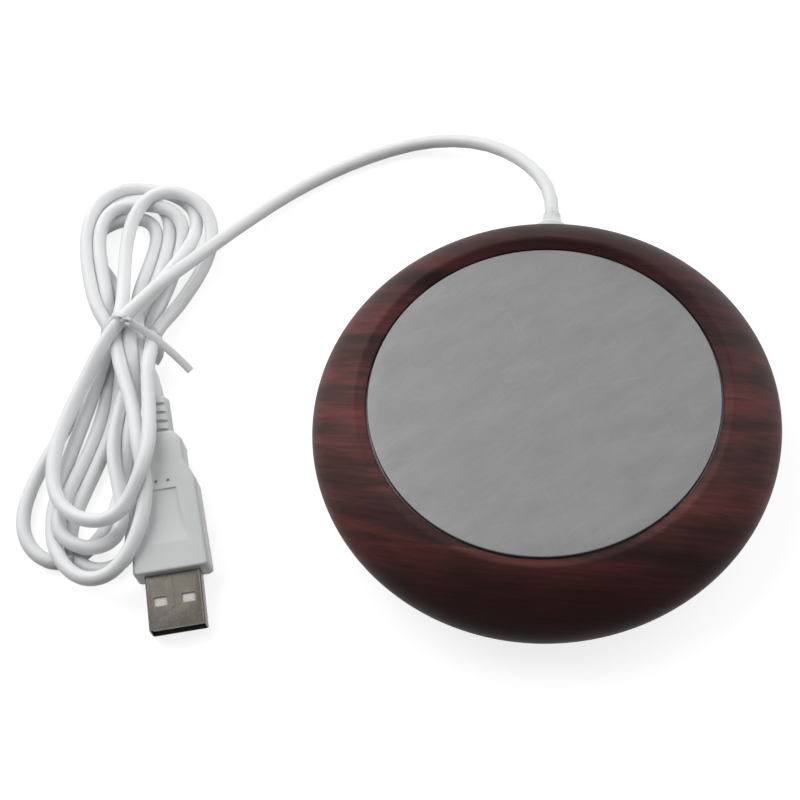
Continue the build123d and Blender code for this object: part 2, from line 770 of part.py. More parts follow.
route = [Vector(0, relief_mouth_y, exit_z)] + [Vector(*point) for point in lead_route]
runs = [after - before for before, after in zip(route, route[1:])]
bend_radii = []
for before, after in zip(runs, runs[1:]):
    half_turn = radians(before.get_angle(after)) / 2
    bend_radii.append(bend_share * min(before.length, after.length) / tan(half_turn))

with BuildPart() as cord_lead:
    with BuildLine():
        lead_line = FilletPolyline(*route, radius=bend_radii)
    with BuildSketch(Plane(origin=route[0], z_dir=runs[0])):
        Circle(cord_r)
    sweep()
    tube_volume = cord_lead.part.volume
    add(cord_hank.part, mode=Mode.SUBTRACT)
finish(cord_lead, "cord_lead")

print("lead runs", [round(run.length, 1) for run in runs])
print("lead bend radii", [round(bend, 1) for bend in bend_radii])
print("tube volume", round(tube_volume, 1), "section times length",
      round(pi * cord_r**2 * lead_line.length, 1), "length", round(lead_line.length, 1))
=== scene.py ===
import math

import bmesh
import bpy
import numpy as np
from mathutils import Matrix, Vector


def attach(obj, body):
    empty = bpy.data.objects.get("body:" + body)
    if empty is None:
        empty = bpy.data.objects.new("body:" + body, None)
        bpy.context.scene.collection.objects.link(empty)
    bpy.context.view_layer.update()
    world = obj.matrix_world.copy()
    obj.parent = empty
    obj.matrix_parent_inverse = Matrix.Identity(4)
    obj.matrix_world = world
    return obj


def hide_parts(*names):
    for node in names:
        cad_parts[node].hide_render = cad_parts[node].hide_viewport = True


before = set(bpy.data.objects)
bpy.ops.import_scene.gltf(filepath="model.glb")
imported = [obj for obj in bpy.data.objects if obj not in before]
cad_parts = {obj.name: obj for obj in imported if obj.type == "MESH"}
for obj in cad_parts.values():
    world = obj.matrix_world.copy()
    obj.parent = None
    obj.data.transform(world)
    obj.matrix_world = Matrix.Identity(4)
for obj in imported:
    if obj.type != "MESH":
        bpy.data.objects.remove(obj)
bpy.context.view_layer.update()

# ---------------------------------------------------------------- table, light and camera
# A plain white table top under two soft boxes and an even sky. The table is pure white to the eye
# and in reflections, and keeps a part of the shadows that fall on it.

mm = 0.001
white = (1, 1, 1, 1)
scene = bpy.context.scene
scene.view_settings.view_transform = "Standard"


def linear(code):
    """A colour written as rrggbb, as the shader wants it."""
    steps = [int(code[i:i + 2], 16) / 255 for i in (0, 2, 4)]
    return [s / 12.92 if s <= 0.04045 else ((s + 0.055) / 1.055) ** 2.4 for s in steps] + [1]


def fill(tree, node, inputs):
    """Sets or links a node's inputs; a node given as a value stands for its first output."""
    for name, value in inputs.items():
        if isinstance(value, bpy.types.Node):
            value = value.outputs[0]
        if isinstance(value, bpy.types.NodeSocket):
            tree.links.new(value, node.inputs[name])
        else:
            node.inputs[name].default_value = value


def add(tree, kind, inputs={}, **settings):
    """A new node with its settings and its inputs."""
    made = tree.nodes.new(kind)
    for name, value in settings.items():
        setattr(made, name, value)
    fill(tree, made, inputs)
    return made


def calc(tree, operation, *values, kind="ShaderNodeMath"):
    """A sum on its values, in their order."""
    return add(tree, kind, dict(enumerate(values)), operation=operation)


def spread(tree, value, low, high, to_low=0.0, to_high=1.0):
    """A value carried from one range to another, and held in it."""
    return add(tree, "ShaderNodeMapRange", {"Value": value, "From Min": low, "From Max": high,
                                            "To Min": to_low, "To Max": to_high})


def emptied(owner):
    """The bare node tree of a world or a material."""
    owner.use_nodes = True
    owner.node_tree.nodes.clear()
    return owner.node_tree


def placed(name, data):
    """A new object in the scene."""
    made = bpy.data.objects.new(name, data)
    scene.collection.objects.link(made)
    return made


def stance(at, *axes):
    """A place and three axes as one matrix."""
    return Matrix.Translation(at) @ Matrix(axes).transposed().to_4x4()


def seen_directly(tree):
    """1 for the eye, for reflections and for what glass lets through; 0 for light that is scattered."""
    path = add(tree, "ShaderNodeLightPath").outputs
    either = calc(tree, "MAXIMUM", path["Is Camera Ray"], path["Is Glossy Ray"])
    return calc(tree, "MAXIMUM", either, path["Is Transmission Ray"])


sky_tone, sky_strength = (0.97, 0.985, 1, 1), 0.10
world = bpy.data.worlds.new("Even sky")
scene.world = world
sky_tree = emptied(world)
sky_light = add(sky_tree, "ShaderNodeBackground", {"Color": sky_tone, "Strength": sky_strength})
sky_seen = add(sky_tree, "ShaderNodeBackground", {"Color": white, "Strength": 1})
sky = add(sky_tree, "ShaderNodeMixShader", {0: seen_directly(sky_tree), 1: sky_light, 2: sky_seen})
add(sky_tree, "ShaderNodeOutputWorld", {"Surface": sky})

table_half, table_in_light, table_to_eye, glow_strength, glow_share = 3.0, 0.3, 0.95, 1.6, 0.5
table_mesh = bpy.data.meshes.new("table_top")
table_mesh.from_pydata([(x * table_half, y * table_half, 0) for x, y in ((-1, -1), (1, -1), (1, 1), (-1, 1))],
                       [], [(0, 1, 2, 3)])
table = placed("table_top", table_mesh)
table_white = bpy.data.materials.new("Table white")
table_tree = emptied(table_white)
table_seen = seen_directly(table_tree)
table_tone = spread(table_tree, table_seen, 0, 1, table_in_light, table_to_eye)
table_matt = add(table_tree, "ShaderNodeBsdfDiffuse", {"Color": table_tone})
table_glow = add(table_tree, "ShaderNodeEmission", {"Color": white, "Strength": glow_strength})
table_mix = add(table_tree, "ShaderNodeMixShader",
                {0: calc(table_tree, "MULTIPLY", table_seen, glow_share), 1: table_matt, 2: table_glow})
add(table_tree, "ShaderNodeOutputMaterial", {"Surface": table_mix})
table_mesh.materials.append(table_white)

for lamp_name, lamp_at, lamp_size, lamp_power in (
        ("soft_box_left", (-0.54, 0.38, 0.52), 0.9, 6.6),
        ("soft_box_right", (0.60, 0.34, 0.44), 0.8, 3.9)):
    lamp_data = bpy.data.lights.new(lamp_name, "AREA")
    lamp_data.shape = "SQUARE"
    lamp_data.size = lamp_size
    lamp_data.energy = lamp_power
    placed(lamp_name, lamp_data).matrix_world = (
        Matrix.Translation(lamp_at) @ Vector(lamp_at).to_track_quat("Z", "Y").to_matrix().to_4x4())

look_at, camera_far = Vector((-0.0328105, 0.0106662, 0)), 0.4
azimuth, elevation, roll = math.radians(13.5), math.radians(59.612), math.radians(-10.755)
sensor, focal_px, frame_px = 36, 1785.565, 800
camera_back = Vector((math.sin(azimuth) * math.cos(elevation), -math.cos(azimuth) * math.cos(elevation),
                      math.sin(elevation)))
level_right = (-camera_back).cross(Vector((0, 0, 1))).normalized()
level_up = camera_back.cross(level_right)
camera_right = math.cos(roll) * level_right + math.sin(roll) * level_up
camera_up = camera_back.cross(camera_right)
camera_data = bpy.data.cameras.new("camera")
camera_data.sensor_width = sensor
camera_data.lens = sensor * focal_px / frame_px
camera_data.clip_start = 0.01
scene.camera = placed("camera", camera_data)
scene.camera.matrix_world = stance(look_at + camera_far * camera_back, camera_right, camera_up, camera_back)

# ---------------------------------------------------------------- base cover
# Injection-moulded dish in dark plastic that closes the underside: the lower part of the rounded side,
# a tongue that centres it in the upper shell, floor ribs, a saddle for the lead and four counterbores.

body_r, side_r, girth_z, part_drop = 50 * mm, 8.5 * mm, 10 * mm, 5 * mm
side_x = body_r - side_r
base_z, floor_z, part_z = 1.5 * mm, 3.5 * mm, 5 * mm
tongue_out, tongue_t, tongue_h, tongue_bevel = 45.183 * mm, 1.4 * mm, 2 * mm, 0.3 * mm
part_round, part_gap, part_turn = 0.12 * mm, 0.02 * mm, 0.8
screw_ring_r, counterbore_r, counterbore_deep, screw_hole_r = 41.083 * mm, 2.15 * mm, 1.15 * mm, 1.15 * mm
foot_r, foot_ring_r, foot_sunk, foot_play = 5 * mm, 31 * mm, 0.5 * mm, 0.05 * mm


def arc(centre, radius, start, end, count):
    """Points on an arc of a section, from one angle to the other, in degrees."""
    angles = np.radians(np.linspace(start, end, count))
    return [(centre[0] + radius * math.cos(a), centre[1] + radius * math.sin(a)) for a in angles]


def tree_of(name, inputs, outputs={"Piece": "Geometry"}, kind="GeometryNodeTree"):
    """A new tree with its named inputs and outputs; gives the tree and what its input node puts out."""
    tree = bpy.data.node_groups.new(name, kind)
    for way, sockets in (("INPUT", inputs), ("OUTPUT", outputs)):
        for label, socket in sockets.items():
            tree.interface.new_socket(label, in_out=way, socket_type="NodeSocket" + socket)
    return tree, tree.nodes.new("NodeGroupInput").outputs


def close_tree(tree, shape, finish):
    """Ends a tree in real geometry with its finish on it."""
    real = add(tree, "GeometryNodeRealizeInstances", {0: shape})
    done = add(tree, "GeometryNodeSetMaterial", {"Geometry": real, "Material": finish})
    add(tree, "NodeGroupOutput", {0: done})


# Turned section: each point of a section in the XZ plane is carried round the Z axis
turned_tree, given = tree_of("Turned section", {"Section": "Geometry", "Steps round": "Int",
                                                "Finish": "Material"})
points = add(turned_tree, "GeometryNodeAttributeDomainSize", {0: given["Section"]}, component="MESH")
columns = calc(turned_tree, "ADD", given["Steps round"], 1, kind="FunctionNodeIntegerMath")
skin = add(turned_tree, "GeometryNodeMeshGrid",
           {"Vertices X": points.outputs["Point Count"], "Vertices Y": columns})
index = add(turned_tree, "GeometryNodeInputIndex")
along, round_step = [calc(turned_tree, operation, index, columns, kind="FunctionNodeIntegerMath")
                     for operation in ("DIVIDE_FLOOR", "MODULO")]
place = add(turned_tree, "GeometryNodeInputPosition")
section_point = add(turned_tree, "GeometryNodeSampleIndex",
                    {"Geometry": given["Section"], "Value": place, "Index": along},
                    data_type="FLOAT_VECTOR", domain="POINT")
share = calc(turned_tree, "DIVIDE", round_step, given["Steps round"])
angle = calc(turned_tree, "MULTIPLY", share, 2 * math.pi)
carried = add(turned_tree, "ShaderNodeVectorRotate",
              {"Vector": section_point, "Axis": (0, 0, 1), "Angle": angle})
wrapped = add(turned_tree, "GeometryNodeSetPosition", {"Geometry": skin, "Position": carried})
welded = add(turned_tree, "GeometryNodeMergeByDistance", {"Geometry": wrapped, "Distance": 1e-6})
close_tree(turned_tree, welded, given["Finish"])

# Spaced round: copies of one shape at even angles on a circle about the Z axis, each turned to face out
spaced_tree, given = tree_of("Spaced round", {"Shape": "Geometry", "Count": "Int", "Ring radius": "Float",
                                              "First angle": "Float", "Finish": "Material"})
ring = add(spaced_tree, "GeometryNodeMeshCircle", {"Vertices": given["Count"], "Radius": given["Ring radius"]})
share = calc(spaced_tree, "DIVIDE", add(spaced_tree, "GeometryNodeInputIndex"), given["Count"])
facing = add(spaced_tree, "ShaderNodeCombineXYZ", {"Z": calc(spaced_tree, "MULTIPLY", share, 2 * math.pi)})
copies = add(spaced_tree, "GeometryNodeInstanceOnPoints",
             {"Points": ring, "Instance": given["Shape"], "Rotation": facing})
first = add(spaced_tree, "ShaderNodeCombineXYZ", {"Z": given["First angle"]})
set_off = add(spaced_tree, "GeometryNodeTransform", {"Geometry": copies, "Rotation": first})
close_tree(spaced_tree, set_off, given["Finish"])


def baked(draft, *tools):
    """The plain mesh that a draft's modifiers make; the draft and its tools go."""
    result = bpy.data.meshes.new_from_object(draft.evaluated_get(bpy.context.evaluated_depsgraph_get()))
    for used in (draft, *tools):
        bpy.data.objects.remove(used)
    return result


def made_by(tree, mesh, **inputs):
    """The plain mesh that a geometry tree makes from a mesh."""
    draft = placed(mesh.name, mesh)
    modifier = draft.modifiers.new("Make", "NODES")
    modifier.node_group = tree
    for socket in tree.interface.items_tree:
        label = socket.name.replace(" ", "_")
        if socket.in_out == "INPUT" and label in inputs:
            modifier[socket.identifier] = inputs[label]
    return baked(draft)


def line_mesh(name, line, closed=False):
    """A chain of points joined by edges."""
    chain = bpy.data.meshes.new(name)
    count = len(line)
    edges = [(i, i + 1) for i in range(count - 1)] + ([(count - 1, 0)] if closed else [])
    chain.from_pydata([tuple(p) for p in line], edges, [])
    return chain


def turned(name, section, finish, steps=288):
    """A closed section of (radius, height) points turned about the Z axis."""
    chain = line_mesh(name, [(r, 0, z) for r, z in section])
    return made_by(turned_tree, chain, Steps_round=steps, Finish=finish)


def rod(name, radius, low, high, steps, finish=None):
    """A plain solid cylinder about the Z axis."""
    return turned(name, [(0, low), (radius, low), (radius, high), (0, high)], finish, steps)


def tidy_up(mesh, crease=32):
    """Welds a mesh, points its faces outwards and smooths all but its creases."""
    work = bmesh.new()
    work.from_mesh(mesh)
    bmesh.ops.remove_doubles(work, verts=work.verts, dist=1e-7)
    bmesh.ops.dissolve_degenerate(work, edges=work.edges, dist=1e-7)
    bmesh.ops.recalc_face_normals(work, faces=work.faces)
    work.to_mesh(mesh)
    work.free()
    mesh.shade_smooth()
    mesh.set_sharp_from_angle(angle=math.radians(crease))
    return mesh


def joined(name, *meshes):
    """Several meshes as one."""
    work = bmesh.new()
    for mesh in meshes:
        work.from_mesh(mesh)
    both = bpy.data.meshes.new(name)
    work.to_mesh(both)
    work.free()
    for material in meshes[0].materials:
        both.materials.append(material)
    return both


def cut(mesh, cutter, operation="DIFFERENCE"):
    """A mesh with another taken out of it, or joined to it."""
    whole, tool = placed(mesh.name, mesh), placed(mesh.name + "_tool", cutter)
    modifier = whole.modifiers.new("Cut", "BOOLEAN")
    modifier.operation = operation
    modifier.solver = "EXACT"
    modifier.object = tool
    return baked(whole, tool)


def put(name, mesh, slot, *nodes):
    """A finished piece: it rides on the part and stands for its solids."""
    piece = placed(name, mesh)
    mesh.name = name
    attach(piece, "root")
    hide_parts(*nodes)
    return piece


def dress(material, *names):
    """Gives CAD nodes their material."""
    for name in names:
        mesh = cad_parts[name].data
        mesh.materials.clear()
        mesh.materials.append(material)


noise_range = (0.3, 0.7)  # where nearly all of the noise lies
mould_relief = 0.35


def noise(tree, place, scale, detail, rough=0.5):
    """Soft noise with so many waves to the metre."""
    return add(tree, "ShaderNodeTexNoise",
               {"Vector": place, "Scale": scale, "Detail": detail, "Roughness": rough})


def mixed(tree, share, first, second, blend="MIX"):
    """Two colours mixed, or the second laid on the first, by a share."""
    return add(tree, "ShaderNodeMix", {0: share, 6: first, 7: second},
               data_type="RGBA", blend_type=blend).outputs[2]


# Moulded skin: faint clouds of tint and gloss and the fine grain that a mould leaves on plastic
skin_group, given = tree_of("Moulded skin", {
    "Place": "Vector", "Light tint": "Color", "Dark tint": "Color", "Cloud size": "Float",
    "Grain size": "Float", "Gloss low": "Float", "Gloss high": "Float",
}, {"Colour": "Color", "Roughness": "Float", "Height": "Float"}, "ShaderNodeTree")
clouds = noise(skin_group, given["Place"], calc(skin_group, "DIVIDE", 1.0, given["Cloud size"]), 3.0, 0.55)
grain = noise(skin_group, given["Place"], calc(skin_group, "DIVIDE", 1.0, given["Grain size"]), 2.0, 0.6)
gloss = spread(skin_group, calc(skin_group, "ADD", clouds, grain), 0.7, 1.3,
               given["Gloss low"], given["Gloss high"])
tint = mixed(skin_group, clouds, given["Dark tint"], given["Light tint"])
add(skin_group, "NodeGroupOutput", {"Colour": tint, "Roughness": gloss, "Height": grain})


def new_finish(name, **values):
    """A material with its main shader; gives the material, the shader and the Object coordinates."""
    material = bpy.data.materials.new(name)
    tree = emptied(material)
    shader = add(tree, "ShaderNodeBsdfPrincipled",
                 {key.replace("_", " "): value for key, value in values.items()})
    add(tree, "ShaderNodeOutputMaterial", {"Surface": shader})
    return material, shader, add(tree, "ShaderNodeTexCoord").outputs["Object"]


def surfaced(tree, shader, colour, roughness, height, strength, depth):
    """Gives a shader its colour, its roughness and its relief."""
    relief = add(tree, "ShaderNodeBump", {"Height": height, "Strength": strength, "Distance": depth})
    fill(tree, shader, {"Base Color": colour, "Roughness": roughness, "Normal": relief})


def plastic(name, light, dark, cloud, grain, low, high, depth, **values):
    """A moulded plastic: two near tints, the size of its clouds and grain, its gloss and its relief."""
    material, shader, place = new_finish(name, **values)
    made = add(material.node_tree, "ShaderNodeGroup", {
        "Place": place, "Light tint": linear(light), "Dark tint": linear(dark), "Cloud size": cloud,
        "Grain size": grain, "Gloss low": low, "Gloss high": high}, node_tree=skin_group).outputs
    surfaced(material.node_tree, shader, made["Colour"], made["Roughness"], made["Height"],
             mould_relief, depth)
    return material


base_plastic = plastic("Base plastic", "2c2221", "221a1a", 9 * mm, 0.25 * mm, 0.40, 0.52, 0.02 * mm)
part_angle = -math.degrees(math.asin(part_drop / side_r))
part_x = side_x + side_r * math.cos(math.radians(part_angle)) - part_round
tongue_in, tongue_z = tongue_out - tongue_t, part_z + tongue_h
base_section = ([(0, base_z)] + arc((side_x, girth_z), side_r, -90, part_angle - part_turn, 22)
                + [(part_x, part_z - part_gap), (tongue_out, part_z), (tongue_out, tongue_z - tongue_bevel),
                   (tongue_out - tongue_bevel, tongue_z), (tongue_in, tongue_z), (tongue_in, floor_z),
                   (0, floor_z)])
base_mesh = turned("base", base_section, base_plastic)
counterbore = joined("counterbore",
                     rod("bore", counterbore_r, base_z - mm, base_z + counterbore_deep, 48),
                     rod("hole", screw_hole_r, base_z + mm, floor_z + mm, 48))
recess = rod("recess", foot_r + foot_play, 0, base_z + foot_sunk, 72)
base_mesh = cut(base_mesh, made_by(spaced_tree, counterbore, Count=4, Ring_radius=screw_ring_r,
                                   First_angle=math.pi / 4))
base_mesh = cut(base_mesh, made_by(spaced_tree, recess, Count=4, Ring_radius=foot_ring_r))


def block(name, low, high):
    """A plain box between two corners."""
    work = bmesh.new()
    bmesh.ops.create_cube(work, size=1)
    low, high = Vector(low), Vector(high)
    for vertex in work.verts:
        vertex.co = Vector(low[i] + (vertex.co[i] + 0.5) * (high[i] - low[i]) for i in range(3))
    mesh = bpy.data.meshes.new(name)
    work.to_mesh(mesh)
    work.free()
    return mesh


rib_inner_r, rib_outer_r, rib_t, rib_h, rib_sunk = 9 * mm, 44.5 * mm, 1 * mm, 1.6 * mm, 0.2 * mm
cord_r, saddle_half, saddle_from, saddle_to = 1.6 * mm, 9 * mm, 28.5 * mm, 33.5 * mm
rib = block("rib", ((rib_inner_r - rib_outer_r) / 2, -rib_t / 2, floor_z - rib_sunk),
            ((rib_outer_r - rib_inner_r) / 2, rib_t / 2, floor_z + rib_h))
ribs = made_by(spaced_tree, rib, Count=6, Ring_radius=(rib_inner_r + rib_outer_r) / 2, Finish=base_plastic)
saddle = cut(block("saddle", (-saddle_half, saddle_from, floor_z - rib_sunk),
                   (saddle_half, saddle_to, girth_z)),
             block("groove", (-cord_r, 27 * mm, girth_z - cord_r), (cord_r, 35 * mm, girth_z + mm)))
put("base_cover_shell", tidy_up(joined("base_cover", base_mesh, ribs, saddle)), "base", "base_cover")

# ---------------------------------------------------------------- feet
# Four soft black discs pressed into round recesses of the base cover, with a rounded lower edge.

foot_rubber = plastic("Foot rubber", "1d1d1d", "151515", 3 * mm, 0.18 * mm, 0.72, 0.86, 0.03 * mm)
foot_round, foot_top = 0.4 * mm, 2 * mm
foot_section = ([(0, 0)] + arc((foot_r - foot_round, foot_round), foot_round, -90, 0, 7)
                + [(foot_r, foot_top), (0, foot_top)])
foot = turned("foot", foot_section, foot_rubber, 96)
feet = made_by(spaced_tree, foot, Count=4, Ring_radius=foot_ring_r, Finish=foot_rubber)
put("feet", tidy_up(feet), "foot", "foot_front", "foot_back", "foot_left", "foot_right")

# ---------------------------------------------------------------- screws
# Zinc-plated screws with slotted heads: four from below through the base, three for the retainer and
# two for the lead clamp. Turned on a lathe, so the metal is finely scored.

# Fine scratches: long thin marks in three directions, and the soft mottling of worked metal
scratch_group, given = tree_of(
    "Fine scratches", {"Place": "Vector", "Width": "Float", "Length": "Float", "Angle": "Float"},
    {"Marks": "Float", "Brushing": "Float", "Mottle": "Float"}, "ShaderNodeTree")
across, along = [calc(scratch_group, "DIVIDE", 1.0, given[size]) for size in ("Width", "Length")]
stretch = add(scratch_group, "ShaderNodeCombineXYZ", {"X": along, "Y": across, "Z": across})
brushing, marks, mark_edge = None, 0.0, 0.06
for extra, threshold in ((0.0, 0.70), (0.5, 0.73), (-1.2, 0.75)):
    turn = calc(scratch_group, "ADD", given["Angle"], extra)
    turned_place = add(scratch_group, "ShaderNodeVectorRotate", {"Vector": given["Place"], "Angle": turn},
                       rotation_type="Z_AXIS")
    long_place = calc(scratch_group, "MULTIPLY", turned_place, stretch, kind="ShaderNodeVectorMath")
    streak = noise(scratch_group, long_place, 1.0, 2.0)
    brushing = streak if brushing is None else brushing
    thin = spread(scratch_group, streak, threshold - mark_edge, threshold)
    marks = calc(scratch_group, "MAXIMUM", marks, thin)
mottle = noise(scratch_group, given["Place"], calc(scratch_group, "DIVIDE", 2.0, given["Length"]), 4.0, 0.6)
add(scratch_group, "NodeGroupOutput", {"Marks": marks, "Brushing": brushing, "Mottle": mottle})


def metal(name, light, dark, width, length, angle, low, high, depth, shine=0.10, strength=0.3, clouded=None):
    """A worked metal: its tints, the size and direction of its scratches, its gloss and the scratches' depth,
    shine and strength. Its tint follows the scratches' own mottling, or another one where that is given."""
    material, shader, place = new_finish(name, Metallic=1.0)
    tree = material.node_tree
    made = add(tree, "ShaderNodeGroup", {"Place": place, "Width": width, "Length": length, "Angle": angle},
               node_tree=scratch_group).outputs
    tint = mixed(tree, clouded(tree, place) if clouded else made["Mottle"], linear(dark), linear(light))
    bright = mixed(tree, calc(tree, "MULTIPLY", made["Marks"], shine), tint, white, "ADD")
    gloss = spread(tree, made["Brushing"], *noise_range, low, high)
    surfaced(tree, shader, bright, gloss, made["Brushing"], strength, depth)
    return material


zinc = metal("Zinc plate", "b4b4b2", "8f8f8d", 0.06 * mm, 1.5 * mm, 0.3, 0.24, 0.38, 0.01 * mm)
dress(zinc, "housing_screws", "retainer_screws", "clamp_screws")

# ---------------------------------------------------------------- lead inside the body
# The jacket's inner end under a moulded clamp bar, its two cores and a link, and the woven sleeves that
# cover the joints at the thermal cut-off's legs.

jacket_white = plastic("Jacket white", "f6f7f8", "edeff0", 14 * mm, 0.5 * mm, 0.36, 0.46, 0.02 * mm,
                       Subsurface_Weight=0.75, Subsurface_Radius=(1, 1, 1), Subsurface_Scale=3 * mm)
dress(jacket_white, "cord_inner")
dress(plastic("Clamp plastic", "272223", "1d191a", 4 * mm, 0.2 * mm, 0.42, 0.55, 0.02 * mm), "cord_clamp")
dress(plastic("Red core", "b5201c", "9a1815", 3 * mm, 0.2 * mm, 0.34, 0.44, 0.01 * mm), "lead_red")
dress(plastic("Black core", "161616", "0f0f10", 3 * mm, 0.2 * mm, 0.34, 0.44, 0.01 * mm),
      "lead_black", "lead_link")
dress(plastic("Sleeve weave", "cfc8b4", "a89f88", 0.5 * mm, 0.3 * mm, 0.7, 0.85, 0.08 * mm), "joint_sleeves")

# ---------------------------------------------------------------- retainer, insulation, heater, cut-off
# The stack behind the plate: a moulded ring in heat-proof plastic, a felted fibre ring, an amber film
# with an etched foil track, and the flat metal case of the thermal cut-off.

dress(plastic("Retainer plastic", "1f1f20", "161617", 6 * mm, 0.2 * mm, 0.45, 0.58, 0.02 * mm),
      "retainer_ring")
dress(plastic("Fibre felt", "e0dbcb", "b9b29d", 1.4 * mm, 0.35 * mm, 0.88, 0.98, 0.3 * mm), "insulation_ring")
dress(plastic("Amber film", "c9771c", "b06414", 12 * mm, 0.6 * mm, 0.16, 0.24, 0.005 * mm), "heater_film")
dress(metal("Etched foil", "b5aa98", "978c7c", 0.08 * mm, 3 * mm, 0.0, 0.30, 0.45, 0.005 * mm),
      "heater_track")
dress(metal("Cut-off case", "c2c2c0", "a5a5a3", 0.05 * mm, 4 * mm, 0.2, 0.22, 0.34, 0.01 * mm),
      "thermal_cutoff")

# ---------------------------------------------------------------- heating plate
# Pressed aluminium disc, rolled and lightly scratched, satin. Its flange lies under the housing's lip
# and the plateau stands level with the opening's edge, with a fine dark gap round it.

plate_r, plate_z, plate_t, plate_round = 36.9 * mm, 21.5 * mm, 1 * mm, 0.3 * mm
flange_r, flange_z, flange_under_z = 39 * mm, 20.2 * mm, 19.2 * mm
def plate_clouds(tree, place):
    """Slanting clouds of tint with fine flecks in them, from 0 to 1."""
    slant, cloud_size, fleck_share = 0.62, (13 * mm, 5 * mm, 1), 0.3
    slanted = add(tree, "ShaderNodeMapping", {"Vector": place, "Rotation": (0, 0, slant), "Scale": cloud_size},
                  vector_type="TEXTURE")
    broad, flecks = noise(tree, slanted, 1.0, 3.0, 0.55), noise(tree, place, 900.0, 3.0, 0.7)
    return spread(tree, calc(tree, "MULTIPLY_ADD", flecks, fleck_share, broad), 0.4, 0.9)


plate_metal = metal("Plate aluminium", "777777", "6f6f70", 0.14 * mm, 12 * mm, -0.75, 0.46, 0.58, 0.02 * mm,
                    shine=0.035, strength=0.25, clouded=plate_clouds)
plate_section = ([(0, plate_z)] + [(plate_r * i / 12, plate_z) for i in range(1, 12)]
                 + arc((plate_r - plate_round, plate_z - plate_round), plate_round, 90, 0, 7)
                 + [(plate_r, flange_z), (flange_r, flange_z), (flange_r, flange_under_z),
                    (plate_r - plate_t, flange_under_z), (plate_r - plate_t, plate_z - plate_t),
                    (0, plate_z - plate_t)])
put("plate", tidy_up(turned("plate", plate_section, plate_metal)), "plate", "heating_plate")

# ---------------------------------------------------------------- upper housing
# Moulded cushion-shaped shell with a water-transfer wood print under satin lacquer: rounded side, sloping
# shoulder, ridge and a bevel down to the plate. Four screws from below hold it to the base.

ridge = Vector((39.3, 22.6)) * mm
bevel_foot = Vector((37.3, 21.1)) * mm
wall, seat_r, rim_r, rim_z, ridge_round, side_up = 2.2 * mm, 39.3 * mm, 40.9 * mm, 17.8 * mm, 1.0 * mm, 30.0
relief_hole_r, edge_round, edge_down = 4.35 * mm, 0.15 * mm, 0.06 * mm
side_centre = Vector((side_x, girth_z))
side_normal = Vector((math.cos(math.radians(side_up)), math.sin(math.radians(side_up))))
side_end = side_centre + side_normal * side_r
to_ridge = ridge - side_end
shoulder_r = to_ridge.length_squared / (-2 * to_ridge.dot(side_normal))
shoulder_centre = side_end - side_normal * shoulder_r
# The ridge's own round touches the bevel and the shoulder
bevel_run = (ridge - bevel_foot).normalized()
bevel_in = Vector((bevel_run.y, -bevel_run.x))
from_centre = bevel_foot + bevel_in * ridge_round - shoulder_centre
half_b = from_centre.dot(bevel_run)
reach = -half_b + math.sqrt(half_b ** 2 - from_centre.length_squared + (shoulder_r - ridge_round) ** 2)
round_centre = bevel_foot + bevel_in * ridge_round + bevel_run * reach
round_start = math.degrees((round_centre - shoulder_centre).angle_signed(Vector((1, 0))))
round_end = math.degrees((-bevel_in).angle_signed(Vector((1, 0))))
inner_part_angle = -math.degrees(math.asin(part_drop / (side_r - wall)))
roof_angle = math.degrees(math.acos((rim_r - shoulder_centre.x) / (shoulder_r - wall)))
inner_part_x = side_x + (side_r - wall) * math.cos(math.radians(inner_part_angle))
housing_section = (
    [(part_x, part_z)]
    + arc(side_centre, side_r, part_angle + part_turn, side_up, 44)
    + arc(shoulder_centre, shoulder_r, side_up, round_start, 34)[1:]
    + arc(round_centre, ridge_round, round_start, round_end, 14)[1:]
    + [tuple(round_centre - bevel_in * ridge_round - bevel_run * (reach * s)) for s in (0.35, 0.7)]
    + arc((bevel_foot.x + edge_round, bevel_foot.y - edge_down), edge_round, 127, 180, 5)
    + [(bevel_foot.x, flange_z), (seat_r, flange_z), (seat_r, rim_z), (rim_r, rim_z)]
    + arc(shoulder_centre, shoulder_r - wall, roof_angle, side_up, 24)
    + arc(side_centre, side_r - wall, side_up, inner_part_angle, 40)[1:]
    + [(inner_part_x, part_z), (part_x, part_z)])

wood, wood_shader, _ = new_finish("Wood print", Specular_IOR_Level=0.07)
wood_tree = wood.node_tree
print_flat = add(wood_tree, "ShaderNodeUVMap", uv_map="print")
print_shift, print_turn, wave_high = (0.013, 0.037, 0), (0, 0, 0.10), 4 * mm
print_place = add(wood_tree, "ShaderNodeMapping", {"Vector": print_flat, "Location": print_shift,
                                                   "Rotation": print_turn})
# Slow waves bend the figure a little
wave = spread(wood_tree, noise(wood_tree, print_place, 12.0, 1.0), 0, 1, -wave_high, wave_high)
wave_shift = add(wood_tree, "ShaderNodeCombineXYZ", {"Y": wave})
bent = calc(wood_tree, "ADD", print_place, wave_shift, kind="ShaderNodeVectorMath")


def streaks(along, across, detail, rough):
    """Noise drawn out along the grain, with so many waves to the metre along and across it."""
    drawn = calc(wood_tree, "MULTIPLY", bent, (along, across, 1), kind="ShaderNodeVectorMath")
    return noise(wood_tree, drawn, 1.0, detail, rough)


bands = streaks(10.0, 70.0, 4.0, 0.6)
strands = streaks(45.0, 380.0, 3.0, 0.65)
fibres = streaks(90.0, 1300.0, 3.0, 0.65)
smoke = streaks(20.0, 42.0, 3.0, 0.55)
